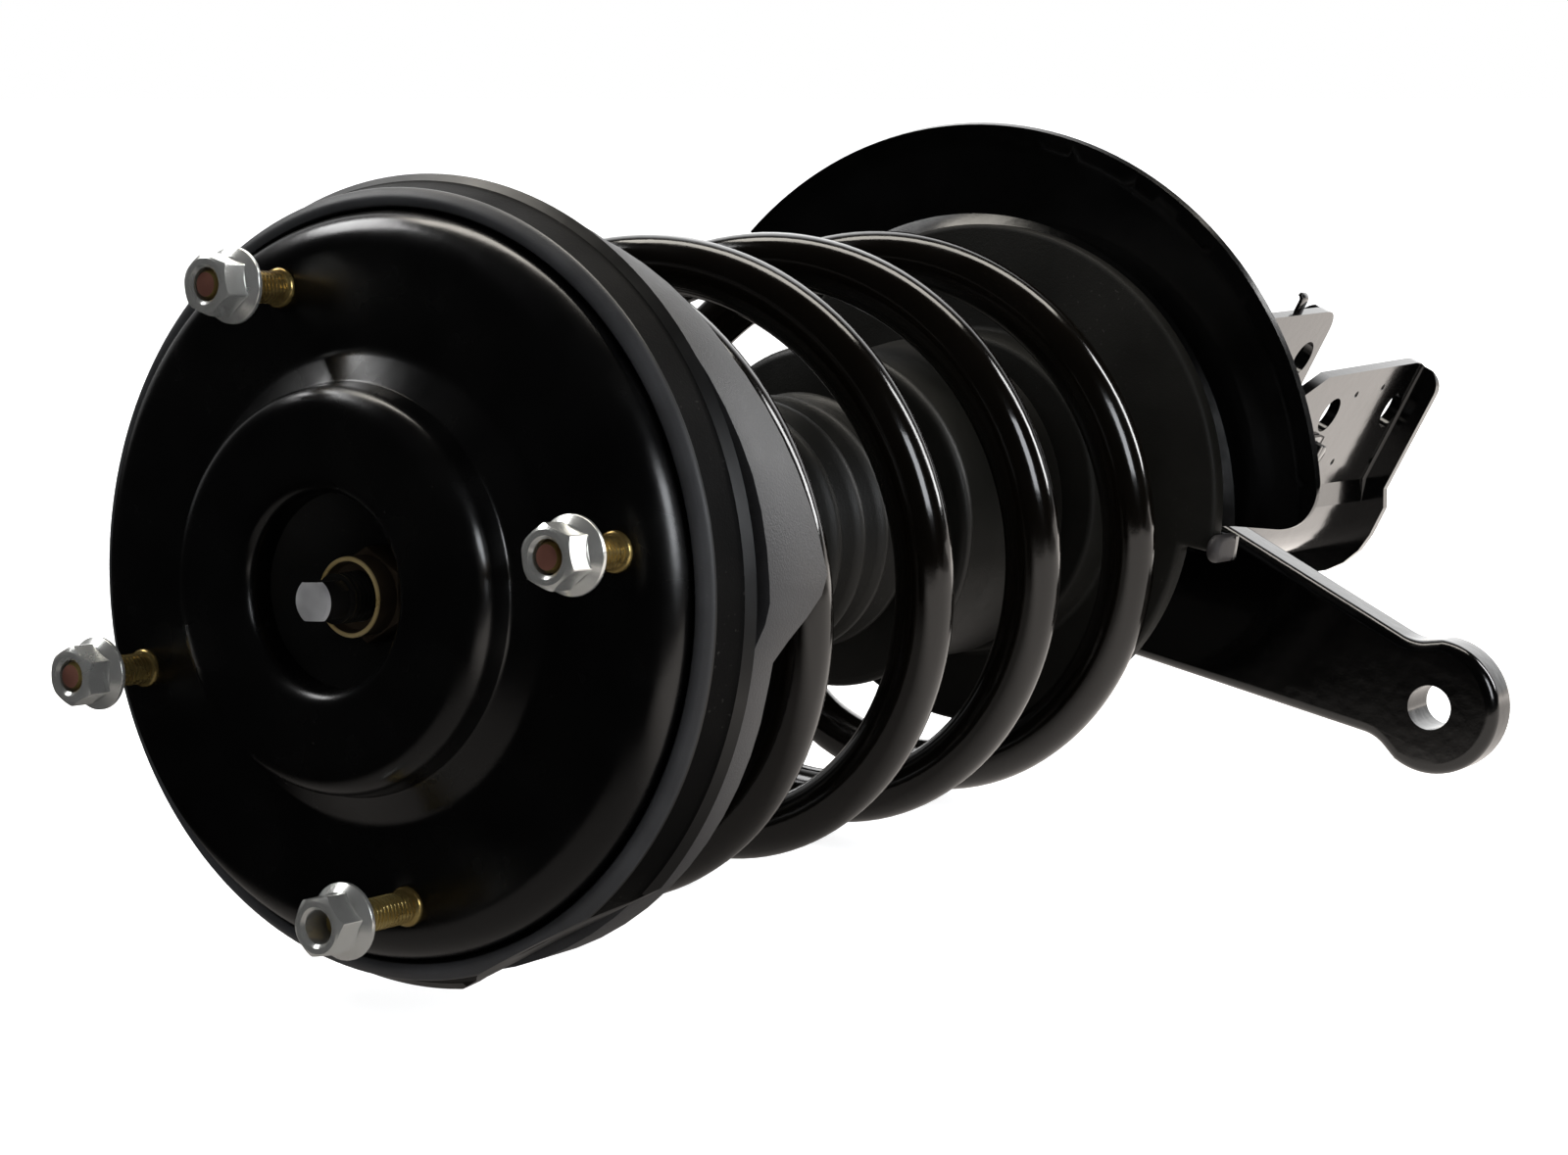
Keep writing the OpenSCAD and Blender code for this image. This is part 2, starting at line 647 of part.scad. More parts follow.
module sector(from, to, r) {
    step = (to - from) / 4;
    polygon(concat([[0, 0]], [for (i = [0:4]) r / cos(step / 2) * [cos(from + i * step), sin(from + i * step)]]));
}

module seat_outline(broad_r, small_r) {
    union() {
        circle(r = small_r);
        intersection() {
            circle(r = broad_r);
            sector(broad_from, broad_to, broad_r + 4);
        }
    }
}

stop_w = 7.2;           // width of the tongue that is bent up beside the isolator
stop_t = 4;
stop_h = 12;
module lower_seat() {
    stop_r = lower_isolator_r + seat_gap;
    pan_bottom_z = lower_pan_z - seat_sheet - seat_gap;
    color("#121212") difference() {
        union() {
            translate([lower_seat_x, lower_seat_y, pan_bottom_z]) linear_extrude(seat_sheet)
                seat_outline(lower_isolator_r - 3, lower_isolator_small_r - 3);
            translate([lower_seat_x, lower_seat_y, 0]) rotate([0, 0, broad_from + 1.2]) {
                translate([isolator_inner_r, -stop_w / 2, pan_bottom_z])
                    cube([stop_r - isolator_inner_r + stop_t, stop_w, seat_sheet]);
                translate([stop_r, -stop_w / 2, pan_bottom_z]) cube([stop_t, stop_w, stop_h]);
            }
            translate([0, 0, lower_pan_z - 14]) cylinder(r = tube_r + seat_sheet + seat_gap, h = 14 - seat_gap);
        }
        translate([0, 0, lower_pan_z - 20]) cylinder(r = tube_r + seat_gap, h = 60);
    }
}

module lower_isolator() {
    color("#353536") difference() {
        translate([lower_seat_x, lower_seat_y, 0]) union() {
            translate([0, 0, lower_pan_z]) linear_extrude(lower_pad_h)
                seat_outline(lower_isolator_r, lower_isolator_small_r);
            translate([0, 0, lower_face_z - 0.1]) cylinder(r1 = hub_r, r2 = hub_r - 1, h = hub_top_z - lower_face_z + 0.1);
        }
        translate([0, 0, lower_pan_z - over]) cylinder(r = tube_r + 4, h = 60);
    }
}

guard_from = 28.8;
guard_to = 163;
guard_inner_r = 58;
guard_top_z = lower_pan_z - seat_sheet - 2 * seat_gap;
guard_edge_z = guard_top_z - 2.4;
guard_path = [
    [guard_inner_r, guard_top_z], [lower_isolator_r + 4, guard_top_z], [lower_isolator_r + 10, guard_edge_z - 3],
    [guard_r - 8, guard_edge_z - 3], [guard_r, guard_edge_z]
];
guard_shift = 5.4;      // how far the guard stands outboard of the damper's axis
guard_corner_r = 8;
module guard_plate() {
    corner_a = guard_from + asin(guard_corner_r / (guard_r - guard_corner_r));
    color("#0c0c0c") translate([0, guard_shift, 0]) intersection() {
        rotate_extrude() polygon(pressed(guard_path, guard_t));
        translate([0, 0, guard_top_z - 12]) linear_extrude(20) union() {
            sector(guard_from, guard_to, guard_r - guard_corner_r);
            sector(corner_a, guard_to, guard_r + 4);
            rotate([0, 0, corner_a]) translate([guard_r - guard_corner_r, 0]) circle(r = guard_corner_r, $fn = 48);
        }
    }
}

// ---- Steering arm ----------------------------------------------------------------------------

neck_at = arm_length - eye_r - 4;
module steering_arm() {
    color("#0b0b0b") rotate([0, 0, arm_angle]) translate([0, 0, arm_top_z - arm_t]) difference() {
        union() {
            cylinder(r = arm_collar_r, h = arm_t);
            linear_extrude(arm_t) polygon([
                [0, arm_collar_r - 0.2], [neck_at, arm_neck], [arm_length, arm_neck],
                [arm_length, -arm_neck], [neck_at, -arm_neck], [0, -arm_collar_r + 0.2]
            ]);
            translate([arm_length, 0, 0]) cylinder(r = eye_r, h = arm_t);
        }
        translate([0, 0, -over]) cylinder(r = tube_r + seat_gap, h = arm_t + 2 * over);
        translate([arm_length, 0, -over]) cylinder(r = tie_hole_r, h = arm_t + 2 * over);
    }
}

// ---- Clevis ----------------------------------------------------------------------------------

body_w = 2 * tube_r + 2 * bracket_t + 0.4;      // width of the bracket round the tube
back_y = -body_w / 2;
back_round = 22;
step_in_y = 13;       // the ears start here, where they are clear of the tube
step_out_y = 5;
ear_y = bolt_reach + 20.8;
bracket_top_z = upper_bolt_z + 34;
bracket_bottom_z = upper_bolt_z - bolt_spacing - 12.8;
// Half of the bracket seen from above, from the back to the end of the ear
half_path = concat(
    [[-over, back_y]],
    arc([body_w / 2 - back_round, back_y + back_round], back_round, 270, 360, 6),
    [[body_w / 2, step_out_y], [ears_w / 2, step_in_y], [ears_w / 2, ear_y]]
);

module half_section(out, inward) {
    polygon(concat(
        [for (i = [0:len(half_path) - 1]) half_path[i] + out * right_of(half_path, i)],
        [for (i = [len(half_path) - 1:-1:0]) half_path[i] - inward * right_of(half_path, i)]
    ));
}

// Outline of the bracket seen from the side, y across and z up
module side_outline() {
    corner = 8;
    top = bracket_top_z;
    low = bracket_bottom_z;
    polygon(concat(
        [[back_y - lip_w - 1, low - 1], [back_y - lip_w - 1, top - 24], [-6, top], [bolt_reach + 8.5, top], [ear_y - 4.5, top - 16]],
        [[ear_y, low + corner + 4]], arc([ear_y - corner, low + corner], corner, 0, -90, 5), [[ear_y - corner, low - 1]]
    ));
}

module half_bracket() {
    intersection() {
        translate([0, 0, bracket_bottom_z]) union() {
            linear_extrude(bracket_top_z - bracket_bottom_z + 10) half_section(0, bracket_t);
            linear_extrude(bracket_t) half_section(lip_w, bracket_t);
        }
        translate([-body_w, 0, 0]) rotate([90, 0, 90]) linear_extrude(2 * body_w) side_outline();
    }
}

module bolt_hole(z, r) {
    translate([-body_w, bolt_reach, z]) rotate([0, 90, 0]) cylinder(r = r, h = 2 * body_w);
}

module clevis_bracket() {
    color("#141414") rotate([0, 0, clevis_turn]) difference() {
        union() {
            half_bracket();
            mirror([1, 0, 0]) half_bracket();
        }
        bolt_hole(upper_bolt_z, upper_bolt_r);
        bolt_hole(upper_bolt_z - bolt_spacing, lower_bolt_r);
    }
}

// Small hook on the far ear's edge
module hose_tab() {
    x = -ears_w / 2;
    z = upper_bolt_z - 49;
    color("#141414") rotate([0, 0, clevis_turn]) union() {
        translate([x - 1.6 - seat_gap, ear_y - 7, z]) cube([1.6, 11, 6]);
        translate([x - 4.6, ear_y + 2.6, z]) cube([4, 1.4, 6]);
        translate([x - 4.6, ear_y + 2.6, z]) cube([1.4, 4, 6]);
    }
}

// Clip for a cable on the near ear, with its bolt
module cable_clip() {
    color("#1a1a1a") rotate([0, 0, clevis_turn]) translate([ears_w / 2 + seat_gap, bolt_reach - 13, upper_bolt_z + 7]) union() {
        translate([0, -7, -8]) cube([2, 12, 16]);
        translate([1, 0, 0]) rotate([0, 90, 0]) cylinder(r = 4, h = 5.5, $fn = 6);
        translate([0, -7, 6]) cube([8, 12, 2]);
    }
}

mount_cap();
mount_ring();
mount_rubber();
mount_sleeve();
mount_studs();
stud_nuts();
rod_nut();
bearing_carrier();
bearing_upper_race();
bearing_balls();
bearing_cage();
bearing_lower_race();
upper_seat();
upper_isolator();
coil_spring();
dust_boot();
bump_stop();
piston_rod();
rebound_stop();
piston();
piston_ring();
piston_nut();
strut_tube();
tube_cap();
rod_seal();
rod_guide();
inner_cylinder();
base_valve();
tube_base();
lower_seat();
lower_isolator();
guard_plate();
steering_arm();
clevis_bracket();
hose_tab();
cable_clip();
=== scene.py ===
# %% [markdown]
# # A suspension strut, built around a fixed CAD frame
# The CAD model is loaded first and is never moved. Every new piece is modelled in the same
# frame: +Z runs up the damper's axis, +Y points to the wheel, and the steering arm's eye is on
# the +X side. Blender works in metres, and a strut is drawn in millimetres, so MM turns one
# into the other.

# %% Load the frame
import bpy, json, math
from mathutils import Matrix, Vector

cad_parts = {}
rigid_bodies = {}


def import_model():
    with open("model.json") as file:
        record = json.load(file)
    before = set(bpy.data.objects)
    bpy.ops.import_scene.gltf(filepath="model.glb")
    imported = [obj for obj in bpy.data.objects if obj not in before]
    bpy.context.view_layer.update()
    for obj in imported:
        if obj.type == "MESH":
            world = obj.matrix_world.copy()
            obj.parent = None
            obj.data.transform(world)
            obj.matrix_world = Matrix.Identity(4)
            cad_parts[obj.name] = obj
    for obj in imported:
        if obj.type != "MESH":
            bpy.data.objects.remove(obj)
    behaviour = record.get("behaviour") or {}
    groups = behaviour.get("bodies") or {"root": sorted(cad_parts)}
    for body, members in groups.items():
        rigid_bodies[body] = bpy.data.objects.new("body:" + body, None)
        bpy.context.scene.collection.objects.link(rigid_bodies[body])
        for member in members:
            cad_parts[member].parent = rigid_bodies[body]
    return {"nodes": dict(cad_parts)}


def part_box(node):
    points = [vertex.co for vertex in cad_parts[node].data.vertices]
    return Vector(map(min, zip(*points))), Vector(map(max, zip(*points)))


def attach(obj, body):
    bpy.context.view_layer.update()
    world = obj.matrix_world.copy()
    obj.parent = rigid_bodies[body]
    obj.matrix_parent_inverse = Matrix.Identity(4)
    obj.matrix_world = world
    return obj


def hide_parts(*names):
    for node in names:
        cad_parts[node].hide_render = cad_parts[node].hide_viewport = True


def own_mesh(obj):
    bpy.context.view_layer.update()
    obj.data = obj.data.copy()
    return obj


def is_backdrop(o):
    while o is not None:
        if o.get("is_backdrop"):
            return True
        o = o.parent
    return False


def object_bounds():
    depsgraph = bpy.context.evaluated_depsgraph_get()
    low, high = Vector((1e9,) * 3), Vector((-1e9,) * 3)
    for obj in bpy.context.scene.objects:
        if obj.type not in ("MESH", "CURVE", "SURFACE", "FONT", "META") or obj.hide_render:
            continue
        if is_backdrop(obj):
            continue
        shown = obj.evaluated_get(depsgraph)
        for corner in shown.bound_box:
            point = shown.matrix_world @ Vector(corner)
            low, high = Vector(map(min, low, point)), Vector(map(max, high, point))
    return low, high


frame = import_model()
cad_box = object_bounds()
cad_middle = (cad_box[0] + cad_box[1]) / 2
MM = 0.001

# %% [markdown]
# ## The camera
# The strut lies on its side in front of the camera, with the top mount nearest. The camera is
# placed by its own three directions, written in the frame of the part, because the part's Z axis
# isn't upright in this view. A lens of 63 mm keeps the near mount large and the far clevis small.

# %% Camera
CAMERA_RIGHT = Vector((0.7170, 0.4174, -0.5584))
CAMERA_UP = Vector((-0.5475, 0.8330, -0.0803))
CAMERA_BACK = Vector((0.4316, 0.3633, 0.8257))
CAMERA_AT = Vector((0.3472, 0.2793, 0.4755))

def placed(right, up, back, at):
    """Matrix of an object that looks against back, from a point."""
    axes = Matrix((right, up, back)).transposed().to_4x4()
    return Matrix.Translation(at) @ axes

bpy.ops.object.camera_add()
camera = bpy.context.object
camera.matrix_world = placed(CAMERA_RIGHT, CAMERA_UP, CAMERA_BACK, CAMERA_AT)
camera.data.lens, camera.data.sensor_width = 63.0, 36.0
camera.data.clip_start, camera.data.clip_end = 0.01, 50.0
bpy.context.scene.camera = camera
print("camera is", round((CAMERA_AT - cad_middle).length, 3), "m from the middle of the strut")

# %% [markdown]
# ## The studio
# Gloss black shows nothing but what it reflects, so the studio is the most important material.
# Two rooms are mixed. Matt surfaces get an even, bright room. Gloss gets a dark one, in which
# only the far side is white: the backdrop behind the strut, and the floor below it. The floor
# goes dark towards the front and the left, because the flat face of the mount mirrors that side.
# The background is white for the camera by Is Camera Ray, and not by more light.

# %% Floor
VIEW_PITCH = math.radians(12)      # how far the camera looks down at the floor
UPRIGHT = (CAMERA_UP * math.cos(VIEW_PITCH) + CAMERA_BACK * math.sin(VIEW_PITCH)).normalized()
FLOOR_GAP = 0.004

def lowest_along(direction):
    """How far down the shown object reaches, along a direction."""
    return min(direction.dot(v.co) for node in frame["nodes"].values() for v in node.data.vertices)

floor_level = lowest_along(UPRIGHT) - FLOOR_GAP
bpy.ops.mesh.primitive_plane_add(size=12)
floor = bpy.context.object
floor.name = "floor"
floor.matrix_world = placed(CAMERA_RIGHT, -CAMERA_RIGHT.cross(UPRIGHT), UPRIGHT, UPRIGHT * floor_level)
floor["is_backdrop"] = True
print("the floor is", round(-floor_level, 3), "m under the damper's axis")

# %% Material helpers
def new_material(name):
    """A material with its nodes on, and its Principled shader."""
    made = bpy.data.materials.new(name)
    made.use_nodes = True
    return made, made.node_tree, made.node_tree.nodes["Principled BSDF"]

def feed(socket, value):
    """Gives an input its value, or links another node's output to it."""
    if isinstance(value, bpy.types.NodeSocket):
        socket.id_data.links.new(value, socket)
    else:
        socket.default_value = value

def fill(node, **values):
    """Feeds a node's inputs by name, with _ for a space."""
    for key, value in values.items():
        feed(node.inputs[key.replace("_", " ")], value)
    return node

def add(tree, kind, **values):
    """A new node, with its inputs filled."""
    return fill(tree.nodes.new(kind), **values)

def maths(tree, operation, first, second, clamp=False):
    """A Math node, fed by outputs or numbers."""
    node = add(tree, "ShaderNodeMath")
    node.operation, node.use_clamp = operation, clamp
    feed(node.inputs[0], first)
    feed(node.inputs[1], second)
    return node.outputs[0]

def times(tree, first, second):
    return maths(tree, "MULTIPLY", first, second)

def spread(tree, value, low, high, to_low=0.0, to_high=1.0, kind="LINEAR"):
    """Stretches the part of a value between low and high."""
    node = add(tree, "ShaderNodeMapRange", Value=value, From_Min=low, From_Max=high,
               To_Min=to_low, To_Max=to_high)
    node.interpolation_type = kind
    return node.outputs["Result"]

def smooth_step(tree, value, low, high, to_low=0.0, to_high=1.0):
    """A soft step of a value, from one number to another."""
    return spread(tree, value, low, high, to_low, to_high, "SMOOTHSTEP")

def either(tree, mask, otherwise, chosen):
    """The shader of one node where the mask is 0, and of another where it is 1."""
    node = add(tree, "ShaderNodeMixShader")
    for socket, value in zip(node.inputs, (mask, otherwise.outputs[0], chosen.outputs[0])):
        feed(socket, value)
    return node

# %% The floor's material
# Each pair of limits is in metres on the floor, to the right of the frame's origin or away from
# the camera. Between the two, the brightness that gloss surfaces see goes from one level to another.
FLOOR_NEAR, FLOOR_FAR = 1.15, 2.3           # right of the strut, and far behind it
FLOOR_DARK, FLOOR_BENEATH = 0.004, 0.24     # everywhere else, and just below the strut
FLOOR_WHITE = 0.75                          # what the floor adds for the camera
LEFT_LIMITS, RIGHT_LIMITS, FRONT_LIMITS = (0.06, 0.24), (0.85, 1.05), (-0.55, -0.38)
FAR_LIMITS, FAR_LEFT_LIMITS = (0.28, 0.46), (0.1, 0.4)
BENEATH_LIMITS, BENEATH_FRONT_LIMITS = (-0.11, -0.04), (-0.30, -0.12)

floor_finish, tree = new_material("pale_floor")[:2]
tree.nodes.clear()
rays = add(tree, "ShaderNodeLightPath").outputs
side = add(tree, "ShaderNodeNewGeometry")
spot = add(tree, "ShaderNodeTexCoord")
axes = add(tree, "ShaderNodeSeparateXYZ", Vector=spot.outputs["Object"])
to_right, away = axes.outputs["X"], axes.outputs["Y"]
from_left = smooth_step(tree, to_right, *LEFT_LIMITS)
from_front = smooth_step(tree, away, *FRONT_LIMITS)
to_edge = times(tree, smooth_step(tree, to_right, *RIGHT_LIMITS, 1.0, 0.0), FLOOR_NEAR)
near = times(tree, times(tree, from_left, from_front), to_edge)
beneath = times(tree, smooth_step(tree, to_right, *BENEATH_LIMITS, 0.0, FLOOR_BENEATH),
                smooth_step(tree, away, *BENEATH_FRONT_LIMITS))
far = times(tree, smooth_step(tree, away, *FAR_LIMITS, 0.0, FLOOR_FAR - FLOOR_NEAR),
            smooth_step(tree, to_right, *FAR_LEFT_LIMITS))
in_gloss = maths(tree, "ADD", maths(tree, "ADD", maths(tree, "MAXIMUM", near, beneath), far), FLOOR_DARK)
lit = add(tree, "ShaderNodeBsdfDiffuse", Color=(0.82, 0.82, 0.83, 1))
white = add(tree, "ShaderNodeEmission", Color=(1, 1, 1, 1), Strength=FLOOR_WHITE)
mirrored = add(tree, "ShaderNodeEmission", Color=(1, 0.93, 0.87, 1), Strength=in_gloss)
nothing = add(tree, "ShaderNodeBsdfTransparent")
shown = add(tree, "ShaderNodeAddShader")
feed(shown.inputs[0], lit.outputs[0])
feed(shown.inputs[1], white.outputs[0])
by_camera = either(tree, rays["Is Camera Ray"], lit, shown)
by_gloss = either(tree, rays["Is Glossy Ray"], by_camera, mirrored)
one_sided = either(tree, side.outputs["Backfacing"], by_gloss, nothing)
add(tree, "ShaderNodeOutputMaterial", Surface=one_sided.outputs[0])
floor.data.materials.append(floor_finish)
print("floor in gloss:", FLOOR_NEAR, "near,", FLOOR_FAR, "far")

# %% The world
ROOM_LIGHT = 0.75                # grey that the room gives to matt surfaces
ROOM_GLOSS = 0.006               # grey that the dark part of the room shows in gloss
BACKDROP = 2.2                   # white of the far side, in gloss
BEHIND_LIMITS = (0.42, 0.72)     # where the dark of the room turns to the backdrop
SIDE_LIMITS = (-0.55, -0.05)     # where the backdrop's left end fades
LEFT_SHARE = 0.12                # and how much of it is left there
world = bpy.data.worlds.new("studio")
bpy.context.scene.world = world
world.use_nodes = True
tree = world.node_tree
tree.nodes.clear()
rays = add(tree, "ShaderNodeLightPath").outputs
place = add(tree, "ShaderNodeTexCoord")

def along(direction):
    """How far a ray of the world points along a direction, from -1 to 1."""
    node = add(tree, "ShaderNodeVectorMath")
    node.operation = "DOT_PRODUCT"
    feed(node.inputs[0], place.outputs["Generated"])
    feed(node.inputs[1], direction)
    return node.outputs["Value"]

behind = smooth_step(tree, along(-CAMERA_BACK), *BEHIND_LIMITS)
not_left = smooth_step(tree, along(CAMERA_RIGHT), *SIDE_LIMITS, LEFT_SHARE)
backdrop = times(tree, times(tree, behind, not_left), BACKDROP)
seen_matt, seen_gloss, seen_white = (
    add(tree, "ShaderNodeBackground", Color=(1, 1, 1, 1), Strength=level)
    for level in (ROOM_LIGHT, maths(tree, "ADD", backdrop, ROOM_GLOSS), 1.0))
by_gloss = either(tree, rays["Is Glossy Ray"], seen_matt, seen_gloss)
by_camera = either(tree, rays["Is Camera Ray"], by_gloss, seen_white)
add(tree, "ShaderNodeOutputWorld", Surface=by_camera.outputs[0])
bpy.context.scene.view_settings.view_transform = "Standard"
print("room:", ROOM_LIGHT, "for matt,", ROOM_GLOSS, "to", BACKDROP, "in gloss")

# %% [markdown]
# ### Lamps
# Each lamp is placed by how far it stands to the right of, above and in front of the strut's
# middle, as the camera sees it, and turned to face the strut. A minus sign puts it behind.

# %% Lamps
MIDDLE = cad_middle + Vector((0, 0, 0.06))

def lamp(name, right, up, back, width, height, watts, tint=(1, 1, 1)):
    """A soft rectangular lamp, placed in the camera's directions and aimed at the strut."""
    at = MIDDLE + CAMERA_RIGHT * right + UPRIGHT * up + CAMERA_BACK * back
    bpy.ops.object.light_add(type="AREA", location=at)
    made = bpy.context.object
    made.name = name
    made.data.shape, made.data.size, made.data.size_y = "RECTANGLE", width, height
    made.data.energy, made.data.color = watts, tint
    away = (at - MIDDLE).normalized()
    side = UPRIGHT.cross(away).normalized()
    made.matrix_world = placed(side, away.cross(side), away, at)
    return made

lamp("top_lamp", 0.05, 1.1, -0.35, 1.3, 0.30, 9, (1.0, 0.95, 0.86))
lamp("right_lamp", 1.20, 0.62, -0.33, 0.24, 0.80, 9)
lamp("left_lamp", -0.86, 0.95, -0.32, 0.60, 0.36, 6)
lamp("front_lamp", 0.86, 0.30, 0.86, 0.40, 0.50, 6, (0.93, 0.96, 1.0))

# %% [markdown]
# ## Finishes
# Four effects are used by several finishes, so each is a node group that gives a mask, a colour
# or a normal, and never a shader. Dust is fine specks in patches. Peel is the faint waviness of
# sprayed paint. Grain is the fine matt texture of moulded rubber. Streaks are the brush lines
# and blotches of plated steel.

# %% Node groups
def new_group(name, inputs, *outputs):
    """A shader group with named sockets, what its inputs put out, and its end node."""
    group = bpy.data.node_groups.new(name, "ShaderNodeTree")
    for label, value in inputs.items():
        socket = group.interface.new_socket(label, in_out="INPUT", socket_type="NodeSocketFloat")
        socket.default_value = value
    for label in outputs:
        kind = "NodeSocketVector" if label == "Normal" else "NodeSocketFloat"
        group.interface.new_socket(label, in_out="OUTPUT", socket_type=kind)
    return group, group.nodes.new("NodeGroupInput").outputs, group.nodes.new("NodeGroupOutput")

def noise(tree, scale, detail=2.0, rough=0.5, stretch=(1, 1, 1)):
    """Noise in the piece's own coordinates, in metres. Stretch squeezes it along an axis."""
    place = add(tree, "ShaderNodeTexCoord")
    mapping = add(tree, "ShaderNodeMapping", Vector=place.outputs["Object"], Scale=stretch)
    node = add(tree, "ShaderNodeTexNoise", Vector=mapping.outputs[0], Scale=scale, Detail=detail,
               Roughness=rough)
    return node.outputs["Fac"]

def bumped(tree, height, strength, distance):
    """Normal of a relief. Distance is its depth in metres."""
    return add(tree, "ShaderNodeBump", Height=height, Strength=strength, Distance=distance).outputs[0]

def make_dust():
    """Mask of small specks that gather in patches."""
    group, given, end = new_group("dust", {"Amount": 0.5}, "Mask")
    specks = spread(group, noise(group, 900, 1), 0.70, 0.76)
    patches = spread(group, noise(group, 26, 3), 0.46, 0.72)
    film = times(group, patches, 0.10)
    both = maths(group, "ADD", times(group, specks, patches), film)
    fill(end, Mask=maths(group, "MULTIPLY", both, given["Amount"], clamp=True))
    return group

def make_peel():
    """Normal of sprayed paint, which is never quite flat."""
    group, given, end = new_group("peel", {"Depth": 0.2}, "Normal")
    waves = maths(group, "ADD", noise(group, 210, 1.5), times(group, noise(group, 1400, 1), 0.12))
    fill(end, Normal=bumped(group, waves, given["Depth"], 0.0004))
    return group

def make_grain():
    """Height of moulded rubber's fine grain, and a slow change of tone."""
    group, given, end = new_group("grain", {"Fineness": 1.0}, "Height", "Tone")
    fine = times(group, noise(group, 1900, 2, 0.6), given["Fineness"])
    slow = spread(group, noise(group, 38, 4, 0.6), 0.3, 0.7)
    fill(end, Height=fine, Tone=slow)
    return group

def make_streaks():
    """Brush lines along the frame's Z, and the clouds of a plated finish."""
    group, given, end = new_group("streaks", {"Contrast": 1.0}, "Lines", "Clouds")
    contrast = given["Contrast"]
    lines = times(group, noise(group, 1500, stretch=(1, 1, 0.08)), contrast)
    clouds = times(group, spread(group, noise(group, 90), 0.3, 0.7), contrast)
    fill(end, Lines=lines, Clouds=clouds)
    return group

DUST, PEEL, GRAIN, STREAKS = make_dust(), make_peel(), make_grain(), make_streaks()
print("node groups:", [g.name for g in (DUST, PEEL, GRAIN, STREAKS)])

# %% Finish helpers
def effect(tree, group, **values):
    """The outputs of one use of a node group, with its own values."""
    node = add(tree, "ShaderNodeGroup")
    node.node_tree = group
    return fill(node, **values).outputs

def mixed(tree, mask, first, second):
    """Colour that goes from first to second as the mask rises. Each is a colour or an output."""
    node = add(tree, "ShaderNodeMix")
    node.data_type = "RGBA"
    first, second = ((*colour, 1) if isinstance(colour, tuple) else colour for colour in (first, second))
    return fill(node, A=first, B=second, Factor=mask).outputs["Result"]

def finish_where(obj, finish, wanted):
    """Gives the faces that pass a test another finish."""
    obj.data.materials.append(finish)
    index = len(obj.data.materials) - 1
    for face in obj.data.polygons:
        if wanted(face):
            face.material_index = index

# %% [markdown]
# ### Paint
# The steel is dipped in gloss black paint. Its colour is almost nothing, so the finish lies in
# the sharp reflection, the faint peel, a little dust, and a roughness that wanders slightly.

# %% Black paints
def grey(level):
    return level, level, level

def black_paint(name, tone, rough, dust, peel):
    """Gloss paint. Dust and peel say how much of each it has."""
    made, tree, shader = new_material(name)
    specks = effect(tree, DUST, Amount=dust)
    waves = effect(tree, PEEL, Depth=peel)
    base = mixed(tree, specks["Mask"], tone, (0.09, 0.075, 0.06))
    wander = spread(tree, noise(tree, 55, 3), 0.3, 0.7, rough * 0.8, rough * 1.3)
    rougher = maths(tree, "ADD", wander, times(tree, specks["Mask"], 0.35))
    fill(shader, Base_Color=base, Roughness=rougher, Normal=waves["Normal"])
    return made

MOUNT_PAINT = black_paint("mount_black", (0.0004, 0.0004, 0.00045), 0.23, 0.04, 0.10)
RING_PAINT = black_paint("ring_black", (0.0005, 0.0005, 0.0006), 0.34, 0.05, 0.10)
SPRING_PAINT = black_paint("spring_black", (0.0014, 0.001, 0.0006), 0.12, 0.05, 0.10)
TUBE_PAINT = black_paint("tube_black", grey(0.0005), 0.18, 0.05, 0.14)
BRACKET_PAINT = black_paint("bracket_black", grey(0.0008), 0.11, 0.05, 0.08)
ARM_PAINT = black_paint("arm_black", grey(0.0004), 0.14, 0.05, 0.20)
print("paints made")

# %% [markdown]
# ### Rubber and plastic
# The isolators, the boot and the bush are matt. They scatter light, so the colour is lighter
# than the paint's, and a fine grain breaks the sheen.

# %% Rubber and plastic
def soft_finish(name, dark, light, rough, grain, gloss=0.5):
    """Matt stuff: dark and light are the ends of its slow change of tone."""
    made, tree, shader = new_material(name)
    texture = effect(tree, GRAIN, Fineness=1.0)
    specks = effect(tree, DUST, Amount=0.5)
    base = mixed(tree, texture["Tone"], dark, light)
    base = mixed(tree, specks["Mask"], base, (0.05, 0.047, 0.042))
    wander = spread(tree, texture["Tone"], 0, 1, rough - 0.05, rough + 0.07)
    fill(shader, Base_Color=base, Roughness=wander, Specular_IOR_Level=gloss,
         Normal=bumped(tree, texture["Height"], grain, 0.0003))
    return made

SEAT_RUBBER = soft_finish("seat_rubber", (0.013, 0.013, 0.0145), (0.025, 0.025, 0.027), 0.46, 0.35)
PAD_RUBBER = soft_finish("pad_rubber", (0.0036, 0.0034, 0.0024), (0.006, 0.0056, 0.0042), 0.62, 0.35, 0.18)
BOOT_PLASTIC = soft_finish("boot_plastic", (0.003, 0.0029, 0.002), (0.005, 0.0047, 0.0034), 0.45, 0.2, 0.3)
# Near black: painted shade for the bush deep in the mount's mouth. The hidden rod seal shares it.
BUSH_PAINTED_SHADE_RUBBER = soft_finish("bush_rubber_painted_shade", grey(0.0015), grey(0.003), 0.6, 0.4)
BUMP_FOAM = soft_finish("bump_foam", (0.42, 0.33, 0.15), (0.55, 0.44, 0.22), 0.75, 0.7)
CARRIER_PLASTIC = soft_finish("carrier_plastic", grey(0.02), grey(0.035), 0.45, 0.2)
CAGE_PLASTIC = soft_finish("cage_plastic", (0.45, 0.40, 0.28), (0.58, 0.52, 0.38), 0.5, 0.2)
